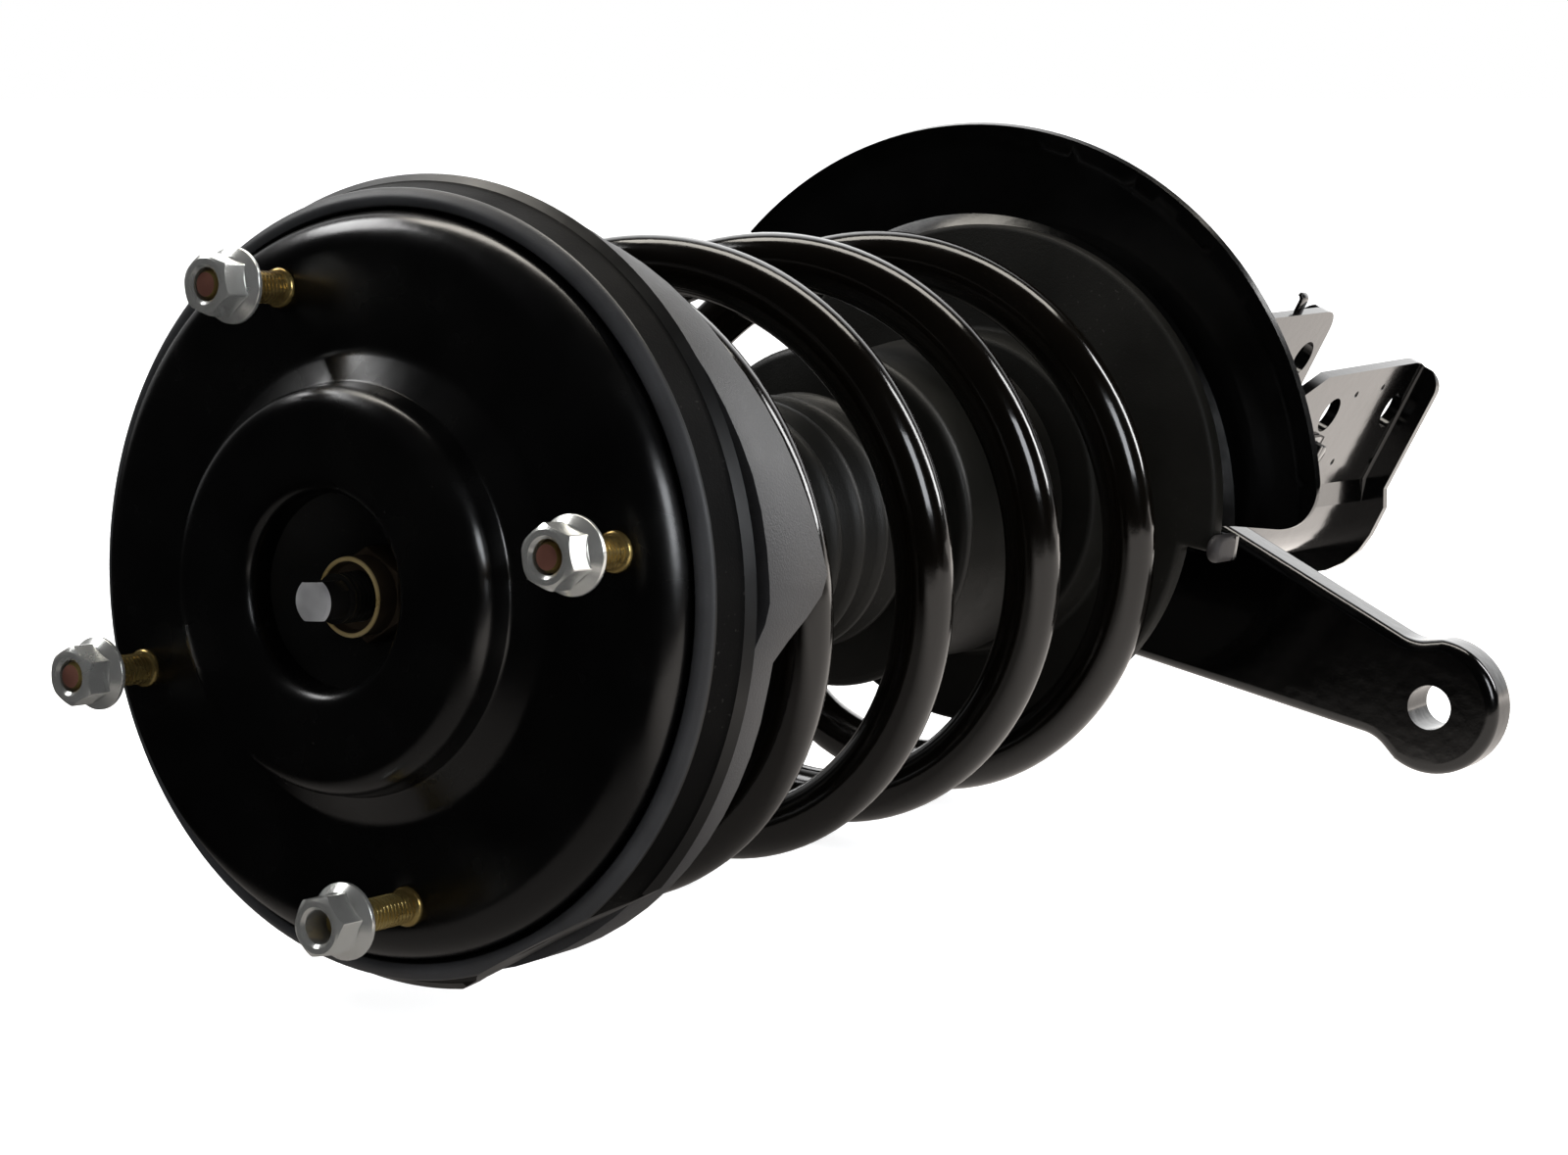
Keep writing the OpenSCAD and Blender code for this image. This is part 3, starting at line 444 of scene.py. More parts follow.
# Flat black: dull paint on the weld beads, and painted shade on the upright wall of the mount's rim.
DULL_PAINT_AND_SHADE = soft_finish("dull_black_and_painted_shade", grey(0.0005), grey(0.0009), 0.55, 0.2, 0.05)
# A bluish grey for the band of the mount's step: a painted reflection.
STEP_PAINTED_SHEEN = soft_finish("step_painted_sheen", (0.015, 0.0155, 0.017), (0.024, 0.025, 0.028), 0.45, 0.15, 0.4)
TONGUE_COAT = soft_finish("tongue_coat", (0.022, 0.020, 0.020), (0.032, 0.029, 0.030), 0.55, 0.2, 0.3)
print("soft finishes made")

# %% [markdown]
# ### Plated and bare steel
# The nuts are bright zinc. The studs and the rod's nut are yellow zinc, whose thin film turns
# from gold to a reddish brown at the cut ends. The rod is chromed, with a grey end.

# %% Plated steel
def plated(name, dark, light, rough, lines=0.12, metal=1.0):
    """Bright metal: dark and light are the ends of its clouds."""
    made, tree, shader = new_material(name)
    texture = effect(tree, STREAKS, Contrast=1.0)
    base = mixed(tree, texture["Clouds"], dark, light)
    wander = spread(tree, texture["Clouds"], 0, 1, rough - 0.02, rough + 0.03)
    fill(shader, Base_Color=base, Roughness=wander, Metallic=metal,
         Normal=bumped(tree, texture["Lines"], lines, 0.00005))
    return made

NUT_ZINC = plated("nut_zinc", (0.68, 0.68, 0.65), (0.76, 0.77, 0.75), 0.25, lines=0.03, metal=0.89)
STUD_ZINC = plated("stud_yellow_zinc", (0.20, 0.12, 0.035), (0.50, 0.39, 0.15), 0.26, lines=0.05, metal=0.9)
STUD_END = plated("stud_end", (0.075, 0.026, 0.018), (0.19, 0.080, 0.055), 0.45, lines=0.1, metal=0.5)
COLLAR_ZINC = plated("collar_yellow_zinc", (0.42, 0.30, 0.11), (0.66, 0.52, 0.26), 0.28, lines=0.05,
                     metal=0.7)
ROD_GREY = plated("rod_grey", (0.24, 0.24, 0.245), (0.46, 0.46, 0.47), 0.45, lines=0.3, metal=0.5)
# A dark brown for the hex of the rod's nut: painted shade, where the nut lies in the mouth's shade.
NUT_PAINTED_SHADE = plated("nut_painted_shade", (0.030, 0.020, 0.012), (0.070, 0.050, 0.032), 0.42, metal=0.6)
ROD_CHROME = plated("rod_chrome", (0.60, 0.60, 0.62), (0.72, 0.72, 0.74), 0.10, lines=0.03)
PLAIN_STEEL = plated("plain_steel", grey(0.42), grey(0.60), 0.30)
SINTERED = plated("sintered_iron", (0.20, 0.19, 0.18), (0.32, 0.31, 0.29), 0.55, lines=0.4)
THREAD_BLACK = plated("thread_black", (0.010, 0.009, 0.008), (0.035, 0.033, 0.030), 0.24, metal=0.8)
print("metals made")

# %% [markdown]
# ## Modelling helpers
# A pressed or turned piece is a circle that is extruded ring by ring along its profile. The
# profile is worked out first, from straight stretches and tangent arcs, just as a press tool is
# drawn. Booleans cut holes, and a small bevel takes the knife edge off every rim, because an
# edge without one never catches the light.

# %% Profiles
def on_circle(radius, degrees, centre=(0, 0)):
    """The point of a circle at an angle."""
    turn = math.radians(degrees)
    return centre[0] + radius * math.cos(turn), centre[1] + radius * math.sin(turn)

def arc(centre, radius, start, stop, steps=10):
    """Points of an arc, angles in degrees."""
    return [on_circle(radius, start + (stop - start) * i / steps, centre) for i in range(steps + 1)]

def rounded(points, radii, steps=6):
    """Rounds the inner corners of an open line of points, each with its own radius."""
    made = [points[0]]
    for before, corner, after, radius in zip(points, points[1:], points[2:], radii):
        at = Vector(corner)
        to_before = (Vector(before) - at).normalized()
        to_after = (Vector(after) - at).normalized()
        half = to_before.angle(to_after) / 2
        if radius <= 0 or half > math.radians(89):
            made.append(corner)
            continue
        reach = radius / math.tan(half)
        centre = at + (to_before + to_after).normalized() * radius / math.sin(half)
        first = at + to_before * reach - centre
        last = at + to_after * reach - centre
        turn = first.angle_signed(last)
        for i in range(steps + 1):
            part = -turn * i / steps
            made.append((centre.x + first.x * math.cos(part) - first.y * math.sin(part),
                         centre.y + first.x * math.sin(part) + first.y * math.cos(part)))
    return made + [points[-1]]

def beside(points, distance):
    """An open line of points, moved to its right."""
    made = []
    for i, point in enumerate(points):
        along = Vector(points[min(i + 1, len(points) - 1)]) - Vector(points[max(i - 1, 0)])
        right = Vector((along.y, -along.x)).normalized()
        made.append((point[0] + right.x * distance, point[1] + right.y * distance))
    return made

def sheet(points, thickness):
    """Closed outline of sheet steel that lies to the right of an open line of points."""
    return points + beside(points, thickness)[::-1] + points[:1]

# %% Mesh helpers
def only(obj):
    """Selects one object and makes it active."""
    bpy.ops.object.select_all(action="DESELECT")
    obj.select_set(True)
    bpy.context.view_layer.objects.active = obj
    return obj

def open_mesh(obj, action="SELECT"):
    """Opens a mesh for editing, with all or none of it selected."""
    only(obj)
    bpy.ops.object.mode_set(mode="EDIT")
    bpy.ops.mesh.select_all(action=action)

def close_mesh():
    bpy.ops.object.mode_set(mode="OBJECT")

def named(name):
    """Names the object that was just made, and its mesh."""
    obj = bpy.context.object
    obj.name = obj.data.name = name
    return obj

def linked(name, data):
    """A new object that shows a mesh or a curve."""
    obj = bpy.data.objects.new(name, data)
    bpy.context.scene.collection.objects.link(obj)
    return obj

def settle(obj):
    """Puts an object's place into its mesh."""
    only(obj)
    bpy.ops.object.transform_apply(location=True, rotation=True, scale=True)
    return obj

def healed(obj, reach=1e-6, sides=None):
    """Merges points within reach, in metres, fills open loops, and turns all faces outwards.
    Sides is the most edges that a filled loop has, and 0 fills any."""
    open_mesh(obj)
    bpy.ops.mesh.remove_doubles(threshold=reach)
    if sides is not None:
        bpy.ops.mesh.fill_holes(sides=sides)
    bpy.ops.mesh.select_all(action="SELECT")
    bpy.ops.mesh.normals_make_consistent(inside=False)
    close_mesh()
    return obj

def turned(name, profile, steps=96):
    """Extrudes a circle ring by ring along a profile of (radius, height), in millimetres. Where
    the profile doesn't end where it starts, both ends get a flat cap."""
    radius, height = profile[0]
    bpy.ops.mesh.primitive_circle_add(vertices=steps, radius=radius * MM, location=(0, 0, height * MM))
    obj = settle(named(name))
    open_mesh(obj)
    for (old_r, old_z), (new_r, new_z) in zip(profile, profile[1:]):
        bpy.ops.mesh.extrude_region_move(TRANSFORM_OT_translate={"value": (0, 0, (new_z - old_z) * MM)})
        if abs(new_r - old_r) > 1e-9:
            bpy.ops.transform.resize(value=(new_r / old_r, new_r / old_r, 1), center_override=(0, 0, 0))
    close_mesh()
    return healed(obj, 1e-6, None if profile[0] == profile[-1] else 0)

def modify(obj, kind, **settings):
    """Adds a modifier and applies it."""
    only(obj)
    modifier = obj.modifiers.new(kind.lower(), kind)
    for key, value in settings.items():
        setattr(modifier, key, value)
    bpy.ops.object.modifier_apply(modifier=modifier.name)
    return obj

def combine(obj, other, operation):
    """Boolean of two pieces. The second is used up."""
    modify(obj, "BOOLEAN", object=other, operation=operation, solver="EXACT")
    bpy.data.objects.remove(other)
    return obj

def cut(obj, tool):
    return combine(obj, tool, "DIFFERENCE")

def edge(obj, width, segments=3, angle=40):
    """A small rounding along every edge that is sharper than the angle."""
    return modify(obj, "BEVEL", width=width * MM, segments=segments, limit_method="ANGLE",
                  angle_limit=math.radians(angle))

def shade(obj, angle=38, flat=False):
    """Smooth shading below an angle. Flat keeps large faces flat right up to their rounded edges."""
    only(obj)
    bpy.ops.object.shade_smooth_by_angle(angle=math.radians(angle))
    if flat:
        modify(obj, "WEIGHTED_NORMAL", keep_sharp=True, weight=90)
    return obj

def dress(obj, finish, body, slot, *stands_for):
    """Gives a piece its finish, the body that it rides on, and the nodes that it stands for."""
    obj.data.materials.clear()
    obj.data.materials.append(finish)
    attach(obj, body)
    if stands_for:
        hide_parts(*stands_for)
    return obj

def rod(name, radius, z0, z1, sides=64, at=(0, 0)):
    """A plain cylinder for cutting or joining."""
    bpy.ops.mesh.primitive_cylinder_add(vertices=sides, radius=radius * MM, depth=(z1 - z0) * MM,
                                        location=(at[0] * MM, at[1] * MM, (z0 + z1) / 2 * MM))
    return settle(named(name))

def cut_out(name, outline, low, high, rounding=0.0, segments=4):
    """A plate with an outline, from one height to another, with rounded edges."""
    flat = bpy.data.curves.new(name, "CURVE")
    flat.dimensions, flat.fill_mode = "2D", "BOTH"
    flat.extrude = ((high - low) / 2 - rounding) * MM
    flat.bevel_depth, flat.bevel_resolution, flat.offset = rounding * MM, segments, -rounding * MM
    spline = flat.splines.new("POLY")
    spline.points.add(len(outline) - 1)
    spline.use_cyclic_u = True
    for point, (x, y) in zip(spline.points, outline):
        point.co = (x * MM, y * MM, 0, 1)
    obj = linked(name, flat)
    obj.location.z = (low + high) / 2 * MM
    only(obj)
    bpy.ops.object.convert(target="MESH")
    return settle(healed(named(name)))

def round_edges(obj, width, segments, wanted):
    """Rounds only the edges whose two ends both pass a test, given in millimetres."""
    open_mesh(obj, "DESELECT")
    bpy.ops.mesh.select_mode(type="EDGE")
    close_mesh()
    points = [v.co / MM for v in obj.data.vertices]
    for line in obj.data.edges:
        line.select = all(wanted(points[i]) for i in line.vertices)
    count = sum(line.select for line in obj.data.edges)
    bpy.ops.object.mode_set(mode="EDIT")
    bpy.ops.mesh.bevel(offset=width * MM, segments=segments, affect="EDGES", clamp_overlap=True)
    bpy.ops.mesh.select_mode(type="VERT")
    close_mesh()
    print(obj.name, "edges rounded:", count)

def block(name, low, high):
    """A plain box for cutting or joining, from its two corners."""
    middle = [(a + b) / 2 * MM for a, b in zip(low, high)]
    size = [(b - a) * MM for a, b in zip(low, high)]
    bpy.ops.mesh.primitive_cube_add(size=1, location=middle, scale=size)
    return settle(named(name))

def about(axis, degrees):
    """A turn about one of the frame's axes."""
    return Matrix.Rotation(math.radians(degrees), 4, axis)

def shift(x, y, z):
    """A move, in millimetres."""
    return Matrix.Translation((x * MM, y * MM, z * MM))

def moved(obj, matrix):
    """Moves a piece, and puts the move into its mesh."""
    obj.matrix_world = matrix @ obj.matrix_world
    return settle(obj)

def from_cad(node, name, width=0, segments=3, angle=40):
    """A merged copy of a CAD node, with its edges rounded where a width is given."""
    obj = only(linked(name, frame["nodes"][node].data.copy()))
    bpy.ops.mesh.customdata_custom_splitnormals_clear()
    open_mesh(obj)
    bpy.ops.mesh.remove_doubles(threshold=2e-6)
    bpy.ops.mesh.dissolve_limited(angle_limit=math.radians(0.3))
    close_mesh()
    if width:
        edge(obj, width, segments, angle)
    return obj

def softened(node, name, rounding, finish, body, slot, smooth=38):
    """A dressed copy of a CAD node. Rounding is the width, segments and angle of its edges."""
    return dress(shade(from_cad(node, name, *rounding), smooth), finish, body, slot, node)

print("helpers ready")

# %% [markdown]
# ## Top mount
# The mount is two pressings. The upper one has a hump over the rubber bush, with a mouth for the
# rod's nut, and a rounded shoulder at its rim. The lower one shows as a step and a short skirt
# round it. The whole mount leans a little to the wheel, so its pieces are modelled upright and
# leaned together at the end.

# %% Sizes of the mount
MOUNT_TILT, MOUNT_SHIFT = 1.7, 2.0
MOUTH_R, HUMP_R, HUMP_H = 23.0, 47.8, 15.0
CAP_R, CAP_DEPTH, RIM_R, RIM_DEPTH, SHEET_T = 88.8, 9.8, 98.0, 20.3, 2.5
STUD_CIRCLE_R, STUD_HOLE_R = 75.0, 4.6
STUD_DIRECTIONS = (90 - 50.35, 90 + 50.35, 270 - 41.4, 270 + 41.4)
LEAN = shift(0, MOUNT_SHIFT, 0) @ about("X", -MOUNT_TILT)
UPRIGHT_AGAIN = LEAN.inverted()

def stud_holes(piece, low, high):
    """Cuts the four holes for the studs."""
    for direction in STUD_DIRECTIONS:
        cut(piece, rod("hole", STUD_HOLE_R, low, high, 40, on_circle(STUD_CIRCLE_R, direction)))

# %% Upper pressing
cap_line = [(MOUTH_R, HUMP_H - 9)]
cap_line += arc((MOUTH_R + 4, HUMP_H - 4), 4, 180, 90)
cap_line += arc((HUMP_R - 6.5, HUMP_H - 6.5), 6.5, 90, 0, 12)
cap_line += rounded([cap_line.pop(), (HUMP_R + 0.7, 4.6), (HUMP_R + 7.9, 0), (HUMP_R + 16, 0)], [1.6, 5])
cap_line += arc((CAP_R - 9.4, -9.4), 9.4, 90, 0, 14)
cap_line += [(CAP_R, -CAP_DEPTH)]
cap = turned("mount_cap_pressing", sheet(cap_line, SHEET_T), 180)
stud_holes(cap, -6, 6)
edge(cap, 0.35, 2, 60)
moved(cap, LEAN)
dress(shade(cap), MOUNT_PAINT, "top_mount", "black_paint", "mount_cap")
print("upper pressing:", len(cap.data.polygons), "faces")

# %% Lower pressing
# Its rim has a flat on one side, where the skirt is cut straight and a small wall closes it.
FLAT_DIRECTION, FLAT_R = -31.5, 92.3
RING_T = 1.9
RING_CORNERS = [(57, -2.6), (81.4, -2.6), (84.5, -10.3), (89.0, -10.4),
                (89.7, -5.3), (94.0, -9.6), (95.8, -17.6), (RIM_R, -RIM_DEPTH)]
ring_line = rounded(RING_CORNERS, [3.0, 0.8, 0.8, 2.0, 2.6, 3.0])
ring = turned("mount_ring_pressing", sheet(ring_line, RING_T), 180)
to_flat = about("Z", FLAT_DIRECTION)
beyond = block("beyond_flat", (FLAT_R, -RIM_R - 5, -RIM_DEPTH - 5), (FLAT_R + 20, RIM_R + 5, 1))
cut(ring, moved(beyond, to_flat))
wall = block("flat_wall", (FLAT_R - SHEET_T, -RIM_R, -RIM_DEPTH), (FLAT_R, RIM_R, -CAP_DEPTH - 2))
moved(wall, to_flat)
room = [(1, -RIM_DEPTH - 0.4), (RIM_R - 0.6, -RIM_DEPTH - 0.4), (95.1, -17.8), (93.6, -11.2), (1, -11.2)]
combine(wall, turned("inside", room, 180), "INTERSECT")
combine(ring, wall, "UNION")
stud_holes(ring, -9, 2)
edge(ring, 0.4, 2, 50)
moved(ring, LEAN)
dress(shade(healed(ring, 2e-6, 12)), RING_PAINT, "top_mount", "black_paint", "mount_ring")

def on_rim(face, inner, outer, low, high):
    """True for a face between two radii and two heights, measured before the lean."""
    middle = UPRIGHT_AGAIN @ face.center / MM
    return inner < math.hypot(middle.x, middle.y) < outer and low < middle.z < high

def on_step(face):
    """True on the sloping band of the step, which is coloured a bluish grey as a painted reflection."""
    return on_rim(face, 89.9, 94.4, -9.8, -5) and (UPRIGHT_AGAIN.to_3x3() @ face.normal).z > 0.3

# The upright wall of the rim gets a flat, dusty black that reflects almost nothing: painted shade for the
# wall's shade.
finish_where(ring, DULL_PAINT_AND_SHADE, lambda face: on_rim(face, 94.2, 97, -18.6, -8.4))
# The sloping band of the step gets a grey colour: a painted reflection.
finish_where(ring, STEP_PAINTED_SHEEN, on_step)
print("lower pressing:", len(ring.data.polygons), "faces")

# %% [markdown]
# ### Studs and nuts
# A thread is a rod of many rings. The rings of each crest are picked by how far round the helix
# they are, and drawn outwards, so that the ridge climbs by one pitch in each turn.

# %% Threaded rods
RINGS, CREST_FROM, CREST_TO = 6, 0.28, 0.80    # rings in a pitch, and the part of it that is crest

def threaded(name, root, crest, z0, z1, pitch, sides):
    """A closed rod with a helical ridge, standing on the Z axis."""
    count = round((z1 - z0) / pitch * RINGS)
    levels = [z0 + (z1 - z0) * i / count for i in range(count + 1)]
    obj = turned(name, [(root, z) for z in levels], sides)
    open_mesh(obj, "DESELECT")
    close_mesh()
    for vertex in obj.data.vertices:
        x, y, z = vertex.co / MM
        phase = (z / pitch - math.atan2(y, x) / (2 * math.pi)) % 1.0
        vertex.select = CREST_FROM < phase < CREST_TO and z0 + 0.4 * pitch < z < z1 - 0.4 * pitch
    bpy.ops.object.mode_set(mode="EDIT")
    bpy.ops.transform.resize(value=(crest / root, crest / root, 1), center_override=(0, 0, 0))
    close_mesh()
    return obj

STUD_LENGTH, PITCH = 24.5, 1.25

def stud(name):
    """A stud from the face of the mount up: head, collar, shank and thread."""
    shape = [(0.8, -8), (4.9, -8), (5.2, -7.7), (5.2, -5.3), (4.4, -5.2), (4.4, 0.02), (4.75, 0.02),
             (4.75, 0.8), (4.3, 1.3), (3.35, 1.5)]
    body = turned(name, shape + [(3.35, STUD_LENGTH - 1)], 48)
    thread = threaded("thread", 3.36, 3.86, 1.0, STUD_LENGTH - 1.5, PITCH, 40)
    end = [(3.3, STUD_LENGTH - 2.4), (3.6, STUD_LENGTH - 1.5), (2.8, STUD_LENGTH), (0.8, STUD_LENGTH)]
    tip = turned("tip", end, 40)
    combine(body, thread, "UNION")
    return combine(body, tip, "UNION")

master_stud = stud("stud")
print("one stud:", len(master_stud.data.polygons), "faces")

# %% Flange nut
NUT_FLATS, NUT_H, FLANGE_R = 13.0, 10.0, 8.95

def flange_nut(name):
    """Six flats rounded off by a cone at the top, on a round conical flange."""
    hexagon = rod(name, NUT_FLATS / 2 / math.cos(math.radians(30)), 1.2, NUT_H, 6)
    edge(hexagon, 0.35, 3, 40)
    dome = [(0.5, 0), (9, 0), (9, NUT_H - 3.0), (8.1, NUT_H - 1.8), (6.9, NUT_H - 0.6),
            (6.0, NUT_H), (0.5, NUT_H)]
    skirt = [(0.5, 0), (FLANGE_R, 0), (FLANGE_R, 1.1), (6.7, 3.3), (0.5, 3.3)]
    bore = [(3.95, -1), (3.95, NUT_H - 0.8), (4.7, NUT_H - 0.05), (4.7, NUT_H + 1)]
    combine(hexagon, turned("dome", dome), "INTERSECT")
    combine(hexagon, turned("skirt", rounded(skirt, [0.25, 0.4, 1.2], 5)), "UNION")
    cut(hexagon, turned("bore", bore, 48))
    return hexagon

master_nut = flange_nut("nut")
print("one nut:", len(master_nut.data.polygons), "faces")

# %% Place the four studs and nuts
NUT_HEIGHTS, NUT_TURNS = (15.0, 15.0, 15.0, 21.0), (0, 20, 40, 60)
for i in range(4):
    place = LEAN @ about("Z", STUD_DIRECTIONS[i]) @ shift(STUD_CIRCLE_R, 0, 0)
    one = moved(linked(f"stud_{i + 1}", master_stud.data.copy()), place)
    dress(shade(one, 50), STUD_ZINC, "top_mount", "yellow_zinc")
    up = shift(0, 0, NUT_HEIGHTS[i]) @ about("Z", NUT_TURNS[i])
    two = moved(linked(f"stud_nut_{i + 1}", master_nut.data.copy()), place @ up)
    dress(shade(two, 30, flat=True), NUT_ZINC, "top_mount", "zinc")
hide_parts("mount_studs")
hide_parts("stud_nuts")
for spare in (master_stud, master_nut):
    bpy.data.objects.remove(spare)
print("four studs with nuts")

# %% [markdown]
# ### Stud ends
# The cut ends of the studs have a reddish-brown film. The end faces are picked by their normal
# and height, and get a second finish. The fourth stud ends inside its nut.

# %% Stud ends
for i in range(3):
    one = bpy.data.objects[f"stud_{i + 1}"]
    top = max(v.co.z for v in one.data.vertices)
    finish_where(one, STUD_END, lambda face: face.center.z > top - 0.4 * MM and face.normal.z > 0.8)
print("stud ends coloured")

# %% [markdown]
# ### Rod end and its nut
# The rod's end shows in the mouth. It has two flats for a spanner, a black thread below them, and
# a yellow zinc nut with a thin raised collar. All but the collar's rim is dark: painted shade in the mouth.

# %% Rod and nut
ROD_R, ROD_TIP, ROD_SHOULDER = 11.0, 15.6, -17.1
rod_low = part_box("piston_rod")[0].z / MM
shaft_line = [(1, rod_low), (6.2, rod_low), (6.5, rod_low + 0.5), (6.5, rod_low + 32),
              (10.4, rod_low + 32), (ROD_R, rod_low + 33), (ROD_R, ROD_SHOULDER - 0.6),
              (10.4, ROD_SHOULDER), (5.3, ROD_SHOULDER), (5.3, 8.0), (1, 8.0)]
shaft = turned("piston_rod_bar", shaft_line)
thread = threaded("rod_thread", 5.32, 5.98, ROD_SHOULDER - 1, 8.9, 1.5, 48)
combine(shaft, thread, "UNION")
nose_line = [(1, 7.5), (5.3, 7.5), (5.5, 8.3), (5.5, ROD_TIP - 0.7), (4.9, ROD_TIP), (1, ROD_TIP)]
nose = turned("nose", nose_line, 64)
for sign in (-1, 1):
    flat = block("flat", (-8, min(sign * 4.5, sign * 9), 8.6), (8, max(sign * 4.5, sign * 9), 20))
    cut(nose, moved(flat, about("Z", 33)))
edge(nose, 0.25, 2, 45)
combine(shaft, nose, "UNION")
dress(shade(healed(shaft, 2e-6, 12), 35), ROD_CHROME, "top_mount", "chrome_rod", "piston_rod")
finish_where(shaft, THREAD_BLACK, lambda face: face.center.z > -16 * MM)
finish_where(shaft, ROD_GREY, lambda face: face.center.z > (ROD_TIP - 0.9) * MM)

SLEEVE_TOP, ROD_NUT_R = -9.9, 10 / math.cos(math.radians(30))
rod_nut = moved(rod("rod_nut_gold", ROD_NUT_R, SLEEVE_TOP, SLEEVE_TOP + 7, 6), about("Z", 30))
edge(rod_nut, 0.3, 2, 40)
collar_line = [(6.1, 5), (9.6, 5), (9.6, 13.2), (8.5, 13.2), (8.0, 10.3), (6.1, 9.7)]
collar_line = rounded([(r, SLEEVE_TOP + z) for r, z in collar_line], [0, 0.5, 0.4, 0.5], 4)
collar = turned("collar", collar_line + [(6.1, SLEEVE_TOP + 5)])
cut(rod_nut, rod("nut_bore", 6.1, SLEEVE_TOP - 1, SLEEVE_TOP + 14))
combine(rod_nut, collar, "UNION")
dress(shade(rod_nut, 35), COLLAR_ZINC, "top_mount", "yellow_zinc", "rod_nut")
# Below the collar's rim the nut is painted dark: painted shade, for the shade inside the mouth.
finish_where(rod_nut, NUT_PAINTED_SHADE, lambda face: face.center.z < (SLEEVE_TOP + 12.4) * MM)
print("rod and nut made")

# %% [markdown]
# ## Spring
# The spring is one wire of even thickness. Its centreline is worked out from the same values as
# the CAD spring: flat end coils, a free part of even pitch, and a narrower last coil that stands
# on the lower seat. A curve with a round section follows it, and is then made a mesh.

# %% Spring wire
COIL_R, WIRE_R, COIL_PITCH = 78.8, 7.7, 55.5
SPRING_TOP, SPRING_BOTTOM, END_COIL_R = -42.2, -256.0, 65.0
START_TURN, FREE_TURN, FREE_Z = 376.0, 32.3, -69.9
END_TURN = FREE_TURN - 360 * 3 - 227
SEAT_X, SEAT_Y, SPRING_LEAN = 6.0, 16.0, math.radians(2.1)
UPRIGHT_AT = -97     # height where the leaning coils are in line with the damper
NARROW_LAST, NARROW_OVER = 25, 85     # degrees of the wire's end that are narrow, and that narrow

def eased(z, limit, ease=3.0):
    """The height z, held below a limit that it nears along a short curve."""
    over = z - limit
    if over > ease:
        return limit
    return z if over < -ease else z - (over + ease) ** 2 / (4 * ease)

def wire_height(turn):
    """Even pitch between two flat ends."""
    free = FREE_Z + COIL_PITCH * (turn - FREE_TURN) / 360
    return -eased(-eased(free, SPRING_TOP), -SPRING_BOTTOM)

def wire_point(turn):
    """Middle of the wire where it has turned by so many degrees, in metres."""
    share = max(0.0, min(1.0, 1 - (turn - END_TURN - NARROW_LAST) / NARROW_OVER))
    share = share * share * (3 - 2 * share)
    height = wire_height(turn)
    radius = COIL_R + (END_COIL_R - COIL_R) * share
    lean = (UPRIGHT_AT - height) * math.tan(SPRING_LEAN)
    x, y = on_circle(radius, turn, (share * SEAT_X, (1 - share) * lean + share * SEAT_Y))
    return x * MM, y * MM, height * MM

STEPS = 560
wire = bpy.data.curves.new("wire", "CURVE")
wire.dimensions, wire.twist_mode = "3D", "Z_UP"
wire.bevel_depth, wire.bevel_resolution, wire.use_fill_caps = WIRE_R * MM, 7, True
line = wire.splines.new("POLY")
line.points.add(STEPS)
for i in range(STEPS + 1):
    line.points[i].co = (*wire_point(START_TURN + (END_TURN - START_TURN) * i / STEPS), 1)
only(linked("coil_spring_wire", wire))
bpy.ops.object.convert(target="MESH")
spring = healed(named("coil_spring_wire"))
edge(spring, 0.8, 3, 60)
dress(shade(spring, 50), SPRING_PAINT, "spring_seat", "black_paint", "coil_spring")
print("spring:", len(spring.data.polygons), "faces")

def pressed(piece):
    """Gives the piece a mesh of its own, which nothing else shares."""
    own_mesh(piece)

pressed(spring)

# %% [markdown]
# ## Dust boot
# The boot is blown plastic: round folds that swell and narrow evenly, then two broad flares over
# the damper's cap. Its wall is thin, so the profile is given a thickness before it is turned. The
# whole boot hangs a few degrees out of line from its collar.

# %% Boot
BOOT_TOP, BOOT_BOTTOM, BOOT_LEAN = -40.0, -248.0, 3
FOLDS, FOLD_H, FOLD_R, ROOT_R = 12, 11.6, 37.0, 32.4
FLARE_R, FLARE_Z = 54.0, -193.0
fold_top = BOOT_TOP - 10
boot_line = [(33.0, BOOT_TOP), (33.0, fold_top + 3)]
for i in range(FOLDS * 8 + 1):
    swell = (0.5 - 0.5 * math.cos(2 * math.pi * i / 8)) ** 0.7
    boot_line.append((ROOT_R + (FOLD_R - ROOT_R) * swell, fold_top - i * FOLD_H / 8))
below = boot_line[-1][1]
flare = [boot_line.pop(), (ROOT_R + 1.5, below - 1), (FLARE_R + 4.5, FLARE_Z), (FLARE_R - 9, FLARE_Z - 6),
         (FLARE_R - 8, FLARE_Z - 24), (FLARE_R - 5, BOOT_BOTTOM)]
boot_line += rounded(flare, [2, 3, 3, 6])
boot = turned("boot", sheet(boot_line, 1.6), 128)
moved(boot, shift(0, 0, BOOT_TOP) @ about("X", BOOT_LEAN) @ shift(0, 0, -BOOT_TOP))
dress(shade(boot, 50), BOOT_PLASTIC, "spring_seat", "black_plastic", "dust_boot")
pressed(boot)
print("boot:", len(boot.data.polygons), "faces")

# %% [markdown]
# ## Isolators, seats and guard
# These have the right shape in CAD, with knife edges. Each gets a merged copy whose edges are
# rounded as far as its material would be: more on rubber, less on pressed steel. The small tongue
# that holds the lower isolator is a piece of its own, with a dull coat.

# %% Seats
softened("upper_isolator", "upper_isolator_pad", (0.9, 3, 25), SEAT_RUBBER, "spring_seat", "rubber")
softened("lower_isolator", "lower_isolator_pad", (1.6, 4, 40), PAD_RUBBER, "strut", "rubber")
softened("upper_seat", "upper_seat_pan", (0.6, 3, 20), MOUNT_PAINT, "spring_seat", "black_paint")
print("isolators and upper seat made")

